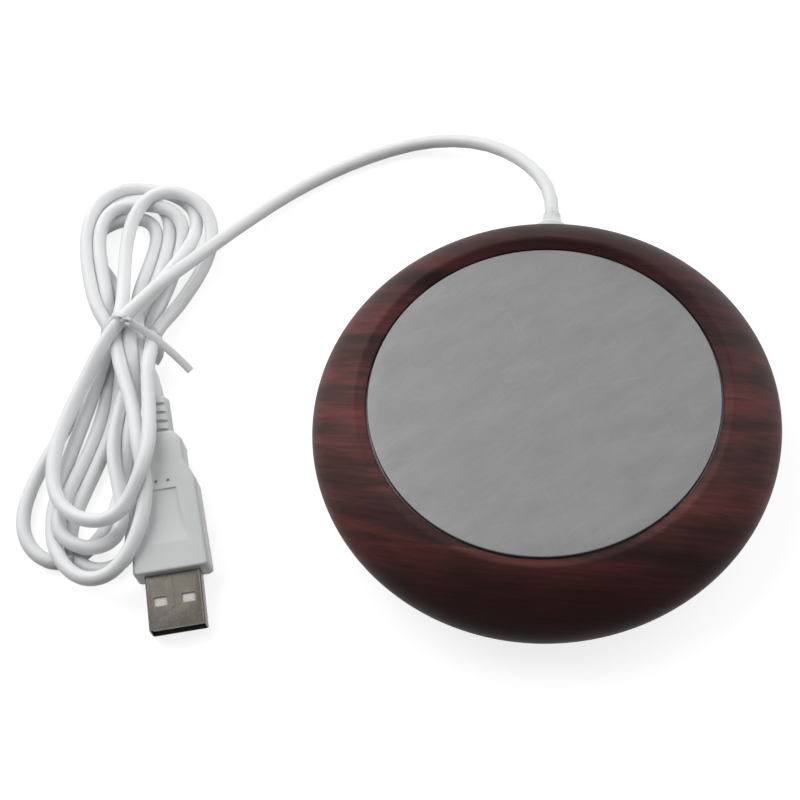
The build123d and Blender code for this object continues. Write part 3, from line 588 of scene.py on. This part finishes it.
# Red heartwood between near-black bands, told apart by the bands and broken up by the strands
figure = calc(wood_tree, "ADD", bands, spread(wood_tree, strands, *noise_range, -0.06, 0.06))
band_ramp = add(wood_tree, "ShaderNodeValToRGB", {0: figure})
stops = band_ramp.color_ramp.elements
for position, code in ((0.30, "291b1a"), (0.42, "362423"), (0.49, "452a29"), (0.56, "583030"),
                       (0.64, "462827"), (0.75, "2e1f1d")):
    stops.new(position).color = linear(code)
stops.remove(stops[0])
stops.remove(stops[-1])
smoked = mixed(wood_tree, spread(wood_tree, smoke, 0.52, 0.70, 0.0, 0.6), band_ramp, linear("302523"))
# Painted shade and light: besides the fibres' own tone, the print is painted darker towards the front and the
# back and lighter at the left than at the right, as the lamps fall on it; from where to where on the print,
# and the tone at each
print_parts = add(wood_tree, "ShaderNodeSeparateXYZ", {0: print_flat}).outputs
fibre_tone_and_painted_shade = spread(wood_tree, fibres, *noise_range, 0.78, 1.22)
for part, low, high, to_low, to_high in (("Y", -47 * mm, -26 * mm, 0.42, 1.35), ("Y", 0.0, 30 * mm, 1.0, 0.52),
                                         ("X", -50 * mm, 50 * mm, 1.4, 1.0)):
    fibre_tone_and_painted_shade = calc(wood_tree, "MULTIPLY", fibre_tone_and_painted_shade,
                      spread(wood_tree, print_parts[part], low, high, to_low, to_high))
# The print's colour scaled by the fibres' tone and by the painted shade and light
print_colour_with_painted_shade = add(wood_tree, "ShaderNodeVectorMath", {0: smoked, "Scale": fibre_tone_and_painted_shade}, operation="SCALE")
wood_gloss = spread(wood_tree, fibres, *noise_range, 0.42, 0.52)
surfaced(wood_tree, wood_shader, print_colour_with_painted_shade, wood_gloss, fibres, 0.25, 0.02 * mm)

boss_r, boss_top = 2.4 * mm, 16 * mm
housing_mesh = turned("housing", housing_section, wood, 360)
boss = rod("boss", boss_r, floor_z, boss_top, 32, wood)
bosses = made_by(spaced_tree, boss, Count=4, Ring_radius=screw_ring_r, First_angle=math.pi / 4, Finish=wood)
relief_bore = rod("relief_bore", relief_hole_r, 42 * mm, 60 * mm, 72)
along_lead = stance((0, 0, girth_z), (1, 0, 0), (0, 0, -1), (0, 1, 0))
relief_bore.transform(along_lead)
housing_mesh = tidy_up(joined("upper_housing", cut(housing_mesh, relief_bore), bosses))

# The print is laid over the top from a little behind and folds down round the sides, so it unrolls
# along the section
print_map = housing_mesh.uv_layers.new(name="print")
shoulder_turn, side_turn = math.radians(round_start), math.radians(side_up)
print_fold, print_lean = 0.3, 0.5
shoulder_run = shoulder_r * (shoulder_turn - side_turn)
for loop in housing_mesh.loops:
    spot = housing_mesh.vertices[loop.vertex_index].co
    reach_out = math.hypot(spot.x, spot.y)
    on_side = Vector((reach_out, spot.z)) - side_centre
    on_shoulder = Vector((reach_out, spot.z)) - shoulder_centre
    shoulder_angle = math.atan2(on_shoulder.y, on_shoulder.x)
    unrolled = reach_out
    if reach_out > ridge.x and shoulder_angle > side_turn:
        unrolled = ridge.x + shoulder_r * (shoulder_turn - shoulder_angle)
    elif reach_out > ridge.x:
        unrolled = ridge.x + shoulder_run + side_r * (side_turn - math.atan2(on_side.y, on_side.x))
    scale = unrolled / max(reach_out, 1e-9)
    print_map.data[loop.index].uv = (spot.x * scale, spot.y * (1 - print_fold + print_fold * scale)
                                     + print_lean * (spot.z - ridge.y))
put("housing", housing_mesh, "housing", "upper_housing")

# ---------------------------------------------------------------- strain relief
# White soft plastic moulded round the lead: a flange behind the wall, a plug in its hole and a short
# trumpet outside that narrows to the jacket.

plug_white = plastic("Plug white", "e4e6e6", "d9dcdc", 10 * mm, 0.35 * mm, 0.32, 0.42, 0.02 * mm,
                     Subsurface_Weight=0.25, Subsurface_Radius=(1, 1, 1), Subsurface_Scale=1.5 * mm)
relief_r, relief_flange_r, relief_in_y, relief_out_y = 4.3 * mm, 5 * mm, 44.6 * mm, 46 * mm
mouth_y, mouth_wall, flare_y = 54.5 * mm, 0.35 * mm, 49.9 * mm
flare_rise = relief_r - cord_r - mouth_wall
flare_r = (flare_rise ** 2 + (mouth_y - flare_y) ** 2) / (2 * flare_rise)
flare_turn = math.degrees(math.asin((mouth_y - flare_y) / flare_r))
relief_section = ([(cord_r, mouth_y), (cord_r + mouth_wall * 0.6, mouth_y)]
                  + arc((cord_r + mouth_wall + flare_r, mouth_y), flare_r, 182, 180 + flare_turn, 16)
                  + [(relief_r, relief_out_y), (relief_flange_r, relief_out_y), (relief_flange_r, relief_in_y),
                     (cord_r, relief_in_y), (cord_r, mouth_y)])
relief_mesh = turned("relief", relief_section, plug_white, 96)
relief_mesh.transform(along_lead)
relief = put("relief", tidy_up(relief_mesh), "plug", "strain_relief")

# ---------------------------------------------------------------- USB plug body
# White overmould on the shell's tail: a tapered block with a rounded nose, sloped shoulders down to a
# narrow rear block, and a tapered neck with four slots on each face so that it bends.

plug_yaw, plug_tilt, plug_front = math.radians(12), math.radians(5.6), (-77.5 * mm, -35 * mm)
plug_t, chin_round, lip_round, plug_round, plug_l = 8 * mm, 2 * mm, 0.5 * mm, 1.1 * mm, 32.4 * mm
plug_heading = Vector((math.sin(plug_yaw), -math.cos(plug_yaw), 0))
plug_up = plug_heading * math.sin(plug_tilt) + Vector((0, 0, math.cos(plug_tilt)))
plug_tip = plug_heading * math.cos(plug_tilt) - Vector((0, 0, math.sin(plug_tilt)))
plug_across = plug_tip.cross(plug_up)
plug_foot = Vector((*plug_front, -chin_round * (math.sin(plug_tilt) + math.cos(plug_tilt) - 1)))
plug_mid = plug_foot + plug_up * plug_t / 2
# Local X across, Y towards the tip, Z up, from the middle of the block's front face
plug_place = stance(plug_mid, plug_across, plug_tip, plug_up)


def softened(corners, radius, steps=6):
    """A line of (along, half width) points with its inner corners rounded."""
    line = [corners[0]]
    for before, corner, after in zip(corners, corners[1:], corners[2:]):
        before, corner, after = Vector(before), Vector(corner), Vector(after)
        run_in, run_out = (before - corner).normalized(), (after - corner).normalized()
        half = run_in.angle(run_out) / 2
        back = min(radius / math.tan(half), 0.45 * min((before - corner).length, (after - corner).length))
        for step in range(steps + 1):
            s = step / steps
            line.append(tuple((corner + run_in * back) * (1 - s) ** 2 + corner * 2 * s * (1 - s)
                              + (corner + run_out * back) * s ** 2))
    return line + [corners[-1]]


def lofted(name, stations, finish, capped=True):
    """A body through rings of points, one ring at each station, with its ends closed or open."""
    count = len(stations[0])
    last = (len(stations) - 1) * count
    faces = [(k + i, k + (i + 1) % count, k + count + (i + 1) % count, k + count + i)
             for k in range(0, last, count) for i in range(count)]
    if capped:
        faces = [tuple(range(count))[::-1], *faces, tuple(range(last, last + count))]
    mesh = bpy.data.meshes.new(name)
    mesh.from_pydata([p for ring_points in stations for p in ring_points], [], faces)
    mesh.materials.append(finish)
    return mesh


def rounded_ring(half_w, half_h, radius, y, steps=6):
    """A rounded rectangle across the plug at y."""
    radius = min(radius, half_w * 0.98, half_h * 0.98)
    return [(px, y, pz) for quarter, (cx, cz) in enumerate(((1, 1), (-1, 1), (-1, -1), (1, -1)))
            for px, pz in arc((cx * (half_w - radius), cz * (half_h - radius)), radius,
                              quarter * 90, quarter * 90 + 90, steps)]


# The block's outline from its rear to its front: the place along it and half its width there
half_line = softened([(-plug_l, 3.2 * mm), (-30 * mm, 5.1 * mm), (-25.1 * mm, 5.1 * mm),
                      (-20.3 * mm, 7.2 * mm), (-0.6 * mm, 8.16 * mm), (0, 7.7 * mm)], 1.4 * mm)
half_at, half_widths = zip(*half_line)
alongs = [*half_at, *np.linspace(-plug_l, -plug_l + plug_round, 7), *np.linspace(-24 * mm, -2.2 * mm, 16)]
for rounding, steps in ((chin_round, 12), (lip_round, 6)):
    alongs += [-rounding * (1 - math.sin(a)) for a in np.linspace(0, math.pi / 2, steps)]


def drop(y, end, radius):
    """How far a rounded edge has come down at y, for an edge at that end of the block."""
    into = min(abs(end - y), radius)
    return radius - math.sqrt(radius ** 2 - (radius - into) ** 2)


stations = []
for y in sorted(set(alongs)):
    behind = drop(y, -plug_l, plug_round)
    top = plug_t / 2 - max(drop(y, 0, lip_round), behind)
    under = plug_t / 2 - max(drop(y, 0, chin_round), behind)
    ring_points = rounded_ring(np.interp(y, half_at, half_widths), (top + under) / 2, plug_round, y)
    stations.append([(px, py, pz + (top - under) / 2) for px, py, pz in ring_points])
plug_mesh = lofted("plug", stations, plug_white)

neck_l, neck_base_r, neck_end_r, neck_round = 9.3 * mm, 3.1 * mm, 2.75 * mm, 1.1 * mm
root_r, root_deep = neck_base_r + 0.15 * mm, 1.2 * mm
neck_section = ([(0, -neck_l), (cord_r + 0.05 * mm, -neck_l)]
                + arc((neck_end_r - neck_round, -neck_l + neck_round), neck_round, -85, 6, 9)
                + [(neck_base_r, 0), (root_r, 0.3 * mm), (root_r, root_deep), (0, root_deep)])
neck_mesh = turned("neck", neck_section, plug_white, 64)
neck_mesh.transform(stance((0, 0, 0), (1, 0, 0), (0, 0, -1), (0, 1, 0)))

# Row of slots: copies of one cutter at an even pitch along the neck, taken out of it
slots_tree, given = tree_of("Row of slots", {"Neck": "Geometry", "Cutter": "Object", "Count": "Int",
                                             "Pitch": "Float", "Finish": "Material"})
pitch_back = add(slots_tree, "ShaderNodeCombineXYZ", {"Y": calc(slots_tree, "MULTIPLY", given["Pitch"], -1.0)})
row = add(slots_tree, "GeometryNodeMeshLine", {"Count": given["Count"], "Start Location": (0, 0, 0),
                                               "Offset": pitch_back})
cutter_info = add(slots_tree, "GeometryNodeObjectInfo", {"Object": given["Cutter"]})
cutters = add(slots_tree, "GeometryNodeInstanceOnPoints",
              {"Points": row, "Instance": cutter_info.outputs["Geometry"]})
real_cutters = add(slots_tree, "GeometryNodeRealizeInstances", {0: cutters})
slotted = add(slots_tree, "GeometryNodeMeshBoolean", {"Mesh 1": given["Neck"], "Mesh 2": real_cutters},
              operation="DIFFERENCE", solver="EXACT")
close_tree(slots_tree, slotted, given["Finish"])

slot_w, slot_half, slot_round, slot_pitch, slot_shift = 0.8 * mm, 2.3 * mm, 0.3 * mm, 2.14 * mm, 0.5 * mm
slot_floor, slot_top = 1.9 * mm, 4 * mm
slot_low, slot_high = [[(x, z - slot_shift, height)
                        for x, _, z in rounded_ring(slot_half, slot_w / 2, slot_round, 0, 5)]
                       for height in (slot_floor, slot_top)]
slot_up = lofted("slot_up", [slot_low, slot_high], plug_white)
slot_down = lofted("slot_down", [[(x, y, -z) for x, y, z in level] for level in (slot_high, slot_low)],
                   plug_white)
cutter_object = placed("slot_cutter", tidy_up(joined("slot_cutter", slot_up, slot_down)))
neck_mesh = made_by(slots_tree, tidy_up(neck_mesh), Cutter=cutter_object, Count=4, Pitch=slot_pitch,
                    Finish=plug_white)
bpy.data.objects.remove(cutter_object)
neck_mesh.transform(Matrix.Translation((0, -plug_l, 0)))

# A shallow bare panel that fades out towards the nose, and two mould-pin holes behind it
cutter_top, pin_r, pin_floor, pin_side, pin_y = 6, 0.35 * mm, 3.2 * mm, 1.3 * mm, -20.4 * mm
panel = [[(x * mm, y * mm, z * mm)
          for x, z in ((-half, floor), (half, floor), (half, cutter_top), (-half, cutter_top))]
         for y, half, floor in ((-18.6, 2.9, 3.65), (-10, 3.9, 3.65), (-6.2, 4.35, 3.98))]
pin = rod("pin", pin_r, pin_floor, cutter_top * mm, 24)
pins = joined("pins", pin, pin)
for i, vertex in enumerate(pins.vertices):
    vertex.co += Vector((pin_side if i < len(pin.vertices) else -pin_side, pin_y, 0))
plug_mesh = cut(tidy_up(plug_mesh), tidy_up(neck_mesh), "UNION")
plug_mesh = cut(cut(plug_mesh, tidy_up(lofted("panel", panel, plug_white))), tidy_up(pins))
plug_mesh.transform(plug_place)
plug = put("plug", tidy_up(plug_mesh, 38), "plug", "plug_body")

# ---------------------------------------------------------------- USB shell, insulator, contacts
# Nickel-plated steel sheet folded to a tube, closed by a keyed seam on its upper face, with two windows
# in each broad face; a white moulded insulator carries four gold-flashed contacts.

shell_half_w, shell_half_h, shell_t, shell_out, shell_in = 6 * mm, 2.25 * mm, 0.3 * mm, 12 * mm, 7 * mm
lip = 0.07 * mm
nickel = metal("Nickel plate", "6a665f", "58544e", 0.07 * mm, 5 * mm, 1.35, 0.26, 0.36, 0.004 * mm)
shell_rings = [
    rounded_ring(shell_half_w - inset, shell_half_h - inset, corner * mm, y) for inset, corner, y in (
        (0, 0.6, -shell_in), (0, 0.6, shell_out - lip), (lip * 0.3, 0.58, shell_out - lip * 0.3),
        (lip, 0.53, shell_out), (shell_t, 0.3, shell_out), (shell_t, 0.3, -shell_in), (0, 0.6, -shell_in))]
shell_mesh = tidy_up(lofted("shell", shell_rings, nickel, False))
window_half, window_from, window_to = 1.4 * mm, 5.0 * mm, 7.0 * mm
for window_x in (-3 * mm, 3 * mm):
    shell_mesh = cut(shell_mesh, block("window", (window_x - window_half, window_from, -4 * mm),
                                       (window_x + window_half, window_to, 4 * mm)))
# The seam is a fine straight joint that widens to a round tongue near the mouth
seam_w, seam_deep, tongue_r, tongue_y = 0.09 * mm, 0.12 * mm, 0.75 * mm, 8.3 * mm
seam_floor, seam_top = shell_half_h - seam_deep, 3 * mm
seam_path = [Vector(p) for p in (
    [(0, 0.2 * mm), (0, tongue_y - tongue_r)]
    + [(tongue_r * math.sin(a), tongue_y - tongue_r * math.cos(a)) for a in np.linspace(0, math.pi, 12)[1:-1]]
    + [(0, tongue_y + tongue_r), (0, shell_out + 0.2 * mm)])]
for here, there in zip(seam_path, seam_path[1:]):
    side = Vector((here.y - there.y, there.x - here.x)).normalized() * seam_w
    run = (there - here).normalized() * seam_w
    corners = [here - run + side, here - run - side, there + run - side, there + run + side]
    seam_cut = lofted("seam", [[(c.x, c.y, z) for c in corners] for z in (seam_floor, seam_top)], nickel)
    shell_mesh = cut(shell_mesh, tidy_up(seam_cut))
shell_mesh.transform(plug_place)
shell = put("usb_tube", tidy_up(shell_mesh), "shell", "usb_shell")
dress(plastic("Insulator white", "e6e5e0", "dad9d3", 4 * mm, 0.2 * mm, 0.45, 0.55, 0.01 * mm), "usb_insulator")
dress(metal("Gold flash", "d6b26a", "b08c48", 0.05 * mm, 3 * mm, 1.35, 0.2, 0.3, 0.01 * mm), "usb_contacts")

# ---------------------------------------------------------------- lead
# Round PVC jacket, 3.2 mm, white and limp: out of the relief, round in a wide curve on the table, and
# then folded into a hank of ten uneven lobes that a tie pinches; the last turn ends in the plug's neck.

# The lead's points on the table, in millimetres, from the relief to the tie
lead_route = [(0, 54.5, 10), (0, 61, 10), (-6.6, 71.5, 8), (-17.5, 79.6, 5), (-32, 82, 2.2),
              (-47.5, 76.6, 1.65), (-61.5, 68, 1.65), (-73.4, 56.6, 2.9), (-83.1, 43.8, 6.6)]
over_waist = (-89.3, 34.6, 10.0)
cord_d = 3.2
cord_half = cord_d / 2
waist, waist_slant, waist_floor, row_rise = np.array([-95.9, 24.0]), 0.2, 0.9, 0.866
hank_run = np.array([-96.0, 52.0]) - np.array([-100.0, -22.5])
hank_run /= np.linalg.norm(hank_run)
hank_right = np.array([hank_run[1], -hank_run[0]])


def waist_place(shift, row):
    """Where a strand lies in the tie: its shift to the right and its row from the bottom."""
    plan = waist + hank_right * shift - hank_run * waist_slant * shift
    return np.array([*plan, waist_floor + cord_half + row * row_rise * cord_d])


# The strands' places in the tie, in the order in which the lead passes through it
waist_places = [waist_place(*p) for p in ((-0.7, 3), (6.0, 1), (-2.3, 2), (-3.9, 1), (0.95, 2), (-5.5, 0),
                                          (4.2, 0), (-2.3, 0), (0.95, 0), (-0.7, 1), (2.55, 1))]
# Each lobe: its tip along the hank and to the right of the tie, its half widths left and right, how far
# out its belly lies on each side, its heights left, at the tip and right, and the side that the lead
# goes out on, -1 for the left
lobes = [
    ((-49.0, 5.2), (13.6, 8.8), (1.0, 1.5), (9.5, 9.5, 12.5), -1),
    ((39.8, 3.5), (8.0, 11.0), (1.7, 1.3), (7.5, 7.0, 3.0), 1),
    ((-61.4, 5.6), (10.8, 9.4), (1.0, 1.6), (4.0, 2.0, 9.0), 1),
    ((41.2, -8.3), (9.2, 14.8), (1.1, 2.2), (4.8, 4.8, 4.8), -1),
    ((-55.5, -4.8), (11.4, 9.6), (2.3, 1.5), (1.7, 1.7, 3.0), 1),
    ((37.4, -7.4), (8.0, 12.6), (1.6, 2.0), (4.8, 3.6, 3.0), -1),
    ((-54.2, 0.2), (8.3, 8.0), (5.0, 5.0), (5.5, 4.8, 5.5), 1),
    ((39.2, -8.0), (9.4, 8.9), (1.6, 2.0), (1.7, 1.7, 1.7), -1),
    ((-56.2, 5.2), (8.3, 8.0), (5.0, 5.0), (1.7, 1.7, 1.7), 1),
    ((34.4, -9.2), (8.0, 7.8), (3.0, 3.0), (1.7, 1.7, 1.7), -1),
]


def eased(s):
    """A share from 0 to 1 that starts and ends gently."""
    return s * s * (3 - 2 * s)


def lobe_turn(start_at, end_at, tip, widths, bellies, levels, out_side, count=90):
    """One turn from the tie round a lobe's tip and back."""
    axis = hank_run * tip[0] + hank_right * tip[1]
    length = np.linalg.norm(axis)
    axis /= length
    right = hank_right - axis * (hank_right @ axis)
    right /= np.linalg.norm(right)
    t = np.linspace(0, 2 * np.pi, count + 1)
    out = np.sin(t / 2) ** 2
    side = np.where(t < np.pi, out_side, -out_side)
    shift = np.where(t < np.pi, (start_at[:2] - waist) @ right, (end_at[:2] - waist) @ right) * (1 - out) ** 3
    for mark, width, belly in zip((-1, 1), widths, bellies):
        fullest = (belly + 1) / (belly + 2)
        swell = (np.abs(np.sin(t)) * np.sin(t / 2) ** belly
                 / (2 * fullest ** (belly / 2 + 0.5) * (1 - fullest) ** 0.5))
        shift = shift + np.where(side == mark, mark * width * swell, 0)
    plan = waist + np.outer(length * out, axis) + np.outer(shift, right)
    near_tip = eased(np.clip(out * 2 - 1, 0, 1))
    height = np.where(side < 0, levels[0], levels[2]) * (1 - near_tip) + levels[1] * near_tip
    clear = eased(np.clip(out / 0.3, 0, 1))
    height = np.where(t < np.pi, start_at[2], end_at[2]) * (1 - clear) + height * clear
    return np.column_stack([plan, height])


# In millimetres, as the turns are laid: over the tie, round each lobe, and back to the plug's neck
neck_end = np.array((plug_mid - plug_tip * (plug_l + neck_l)) / mm)
turns, held = [np.array(over_waist), waist_places[0]], [1]
for lobe, start_at, end_at in zip(lobes, waist_places, waist_places[1:]):
    turns += list(lobe_turn(start_at, end_at, *lobe)[1:])
    held.append(len(turns) - 1)
pull = 24
leave, arrive = np.array([*(-hank_run), 0]) * pull, np.array(plug_tip) * pull
for s in np.linspace(0, 1, 15)[1:]:
    turns.append((2 * s ** 3 - 3 * s ** 2 + 1) * waist_places[-1] + (s ** 3 - 2 * s ** 2 + s) * leave
                 + (3 * s ** 2 - 2 * s ** 3) * neck_end + (s ** 3 - s ** 2) * arrive)
turns = np.array(turns)
step_length = 2.0
travelled = np.r_[0, np.cumsum(np.linalg.norm(np.diff(turns, axis=0), axis=1))]
count = int(round(travelled[-1] / step_length))
even = np.linspace(0, travelled[-1], count + 1)
held = [int(round(travelled[h] / travelled[-1] * count)) for h in held]
laid = np.column_stack([np.interp(even, travelled, turns[:, i]) for i in range(3)])

# The turns settle: they sink, press apart where they cross, rest on the table and over the plug, and stay
# where the tie holds them
grip = np.zeros(len(laid))
grip[:2] = grip[-3:] = 1
for h in held:
    for k, share in ((-2, 0.25), (-1, 0.6), (0, 1), (1, 0.6), (2, 0.25)):
        if 0 <= h + k < len(laid):
            grip[h + k] = max(grip[h + k], share)
order = np.arange(len(laid))
neighbours = np.abs(order[:, None] - order[None, :]) * step_length < 1.8 * cord_d
foot_mm, mid_mm = np.array(plug_foot / mm), np.array(plug_mid / mm)
across_np, tip_np, up_np = np.array(plug_across), np.array(plug_tip), np.array(plug_up)
# The plug's half width along its block, and the neck behind it, in millimetres as the turns are
block_rear, neck_from, neck_to = -32.4, -41.6, -31.5
block_at = [block_rear - cord_half, block_rear, -30.0, -25.1, -20.3, 0]
block_half = [0.0, 2.7, 4.7, 4.7, 6.95, 8.2]
block_top, lift_above, neck_clear = 8 + cord_half, 4.5, 2.6 + cord_half


def clear_of_plug(p):
    """Lifts or shifts points out of the plug's block and neck."""
    local = p - foot_mm
    x, y, z = local @ across_np, local @ tip_np, local @ up_np
    half = np.interp(y, block_at, block_half)
    over, beside = block_top - z, half + cord_half - np.abs(x)
    inside = (y > block_rear - cord_half / 2) & (y < 0.5) & (beside > 0) & (over > 0) & (z > -1)
    lift = inside & ((over < beside) | (z > lift_above))
    shift = inside & ~lift
    p[lift] += np.outer(over[lift], up_np) * 0.5
    p[shift] += np.outer(beside[shift] * np.sign(x[shift]), across_np) * 0.5
    local = p - mid_mm
    y = local @ tip_np
    away = local - np.outer(y, tip_np)
    gap = np.linalg.norm(away, axis=1)
    close = (y < neck_to) & (y > neck_from) & (gap < neck_clear)
    push = (neck_clear - gap[close]) * 0.5
    p[close] += away[close] / np.maximum(gap[close], 1e-6)[:, None] * push[:, None]


def bend_of(line):
    """How far each point lies off the middle between its neighbours."""
    bend = np.zeros_like(line)
    bend[1:-1] = 0.5 * (line[:-2] + line[2:]) - line[1:-1]
    return bend


# In each round: how far the turns sink, and how firmly they keep to their plan, smooth out, level out and
# press apart
sink, hold, smooth, level_out, press, touch = 0.12, 0.10, 0.45, 0.3, 0.9, cord_d * 1.005
rounds = 240
settled = laid.copy()
for turn in range(rounds):
    left = 1 - turn / rounds
    settled[:, 2] -= sink * (0.35 + 0.65 * left) * (1 - grip)
    settled[:, :2] += (laid[:, :2] - settled[:, :2]) * (hold * left + 0.01)
    settled += (laid - settled) * grip[:, None]
    for _ in range(3):
        settled += smooth * bend_of(settled - laid) * (1 - grip)[:, None]
        settled[:, 2] += level_out * bend_of(settled[:, 2]) * (1 - grip)
    for _ in range(3):
        between = settled[:, None, :] - settled[None, :, :]
        gap = np.sqrt((between ** 2).sum(2))
        gap[neighbours] = touch
        overlap = np.clip(touch - gap, 0, None)
        weight = overlap / np.maximum(gap, 0.3) * 0.5
        touching = np.maximum((overlap > 0).sum(1), 1)
        push = (between * weight[:, :, None]).sum(1) / np.sqrt(touching)[:, None]
        settled += push * (1 - press * grip)[:, None] * press
        settled[:, 2] = np.maximum(settled[:, 2], cord_half)
        clear_of_plug(settled)
    settled[-3:] = laid[-3:]
    settled[:2] = laid[:2]
for _ in range(8):
    settled += smooth * bend_of(settled - laid) * (1 - grip)[:, None]
settled[:, 2] = np.maximum(settled[:, 2], cord_half + 0.02)

lead_line = np.vstack([lead_route, settled, neck_end + tip_np]) * mm
lead_curve = bpy.data.curves.new("lead", "CURVE")
lead_curve.dimensions = "3D"
lead_curve.bevel_depth = cord_r
lead_curve.bevel_resolution = 7
lead_curve.resolution_u = 3
lead_curve.use_fill_caps = True
spline = lead_curve.splines.new("NURBS")
spline.points.add(len(lead_line) - 1)
for point, spot in zip(spline.points, lead_line):
    point.co = (*spot, 1)
spline.order_u = 3
spline.use_endpoint_u = True
lead_curve.materials.append(jacket_white)
lead = placed("lead", lead_curve)
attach(lead, "root")
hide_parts("cord_lead", "cord_hank")

# ---------------------------------------------------------------- twist tie
# Plastic-coated wire: a flat strip bent round the strands at the waist, its ends twisted together on top,
# one end cut short and the other left long.

tie_white = plastic("Tie white", "f2f3f4", "e9ebed", 5 * mm, 0.2 * mm, 0.38, 0.5, 0.015 * mm,
                    Subsurface_Weight=0.3, Subsurface_Radius=(1, 1, 1), Subsurface_Scale=1 * mm)
# Strip along a line: a flat rounded strip that follows a chain of points, turned by each point's turn
strip_tree, given = tree_of("Strip along a line", {"Line": "Geometry", "Width": "Float", "Thickness": "Float",
                                                   "Finish": "Material"})
turn_value = add(strip_tree, "GeometryNodeInputNamedAttribute", {"Name": "turn"}, data_type="FLOAT")
tilted = add(strip_tree, "GeometryNodeSetCurveTilt",
             {"Curve": add(strip_tree, "GeometryNodeMeshToCurve", {0: given["Line"]}), "Tilt": turn_value})
strip_round = add(strip_tree, "GeometryNodeCurvePrimitiveCircle", {"Resolution": 20, "Radius": 0.5})
strip_size = add(strip_tree, "ShaderNodeCombineXYZ", {"X": given["Thickness"], "Y": given["Width"], "Z": 1.0})
strip_profile = add(strip_tree, "GeometryNodeTransform", {"Geometry": strip_round, "Scale": strip_size})
strip_body = add(strip_tree, "GeometryNodeCurveToMesh",
                 {"Curve": tilted, "Profile Curve": strip_profile, "Fill Caps": True})
close_tree(strip_tree, strip_body, given["Finish"])


def strip(name, path, turn_values, width, thickness, closed=False):
    """A piece of the tie along a path in millimetres, with its turn at each point."""
    chain = line_mesh(name, [Vector(p) * mm for p in path], closed)
    turn_layer = chain.attributes.new("turn", "FLOAT", "POINT")
    turn_layer.data.foreach_set("value", np.array(turn_values, np.float32))
    return made_by(strip_tree, chain, Width=width * mm, Thickness=thickness * mm, Finish=tie_white)


# The loop is the tight outline of the strands in the tie, in millimetres
tie_w, tie_t, loop_step = 1.5, 0.6, 0.8
loop_r = cord_half + tie_t / 2
around = sorted(((place_at[:2] - waist) @ hank_right + loop_r * math.cos(a),
                 place_at[2] + loop_r * math.sin(a))
                for place_at in waist_places for a in np.linspace(0, 2 * np.pi, 24, endpoint=False))


def turns_in(before, here, after):
    """Whether an outline through three points runs straight on or turns inwards at the middle one."""
    (x1, z1), (x2, z2), (x3, z3) = before, here, after
    return (x2 - x1) * (z3 - z1) - (z2 - z1) * (x3 - x1) <= 0


outline = []
for direction in (1, -1):
    side_points = []
    for p in around[::direction]:
        while len(side_points) > 1 and turns_in(side_points[-2], side_points[-1], p):
            side_points.pop()
        side_points.append(p)
    outline += side_points[:-1]
corners = [np.array([*(waist + hank_right * s - hank_run * waist_slant * s), max(z, tie_t / 2 + 0.05)])
           for s, z in outline]
loop_line = []
for here, there in zip(corners, corners[1:] + corners[:1]):
    pieces = max(1, int(np.linalg.norm(there - here) / loop_step))
    loop_line += [here + (there - here) * k / pieces for k in range(pieces)]
tie_loop = strip("tie_loop", loop_line, [0.0] * len(loop_line), tie_w, tie_t, True)

# The knot: the two ends wound round each other above the strands
twist_turn, twist_r, twist_w, twist_t = 2 * math.pi * 1.1, 0.45, 1.2, 0.6
knot_left, knot_lift = 0.4, 0.5
peak = np.array([*(waist - hank_right * knot_left), max(p[2] for p in corners) + knot_lift])
knot_run = np.array([2.6, -1.6, -0.6])
knot_end = peak + knot_run
knot_dir = knot_run / np.linalg.norm(knot_run)
knot_side = np.cross(knot_dir, (0, 0, 1))
knot_side /= np.linalg.norm(knot_side)
knot_up = np.cross(knot_side, knot_dir)
twist_parts = []
for phase in (0, math.pi):
    twists = [s * twist_turn for s in np.linspace(0, 1, 30)]
    winding = [peak + knot_run * (a / twist_turn)
               + twist_r * (math.cos(phase + a) * knot_side + math.sin(phase + a) * knot_up) for a in twists]
    twist_parts.append(strip("twist", winding, twists, twist_w, twist_t))


def bow(start_at, middle, end_at, count):
    """A gentle bow through three points."""
    start_at, middle, end_at = np.array(start_at), np.array(middle), np.array(end_at)
    pull = 2 * middle - (start_at + end_at) / 2
    return [start_at * (1 - s) ** 2 + pull * 2 * s * (1 - s) + end_at * s ** 2
            for s in np.linspace(0, 1, count)]


# The long end and the short one: their lines, then their turn, width and thickness
tail_steps, stub_steps = 30, 14
tail_line = bow(knot_end - knot_dir * 0.6, (-87.6, 20.4, 7.4), (-80.7, 15.6, 3.2), tail_steps)
stub_line = bow((-89.9, 22.6, 6.6), (-88.0, 20.4, 4.6), (-89.2, 17.4, 3.0), stub_steps)
tie_tail = strip("tie_tail", tail_line, [2.0] * tail_steps, 1.8, 0.55)
tie_stub = strip("tie_stub", stub_line, [1.6] * stub_steps, 1.5, 0.5)
tie = put("tie", tidy_up(joined("tie", tie_loop, *twist_parts, tie_tail, tie_stub), 50), "tie", "cable_tie")
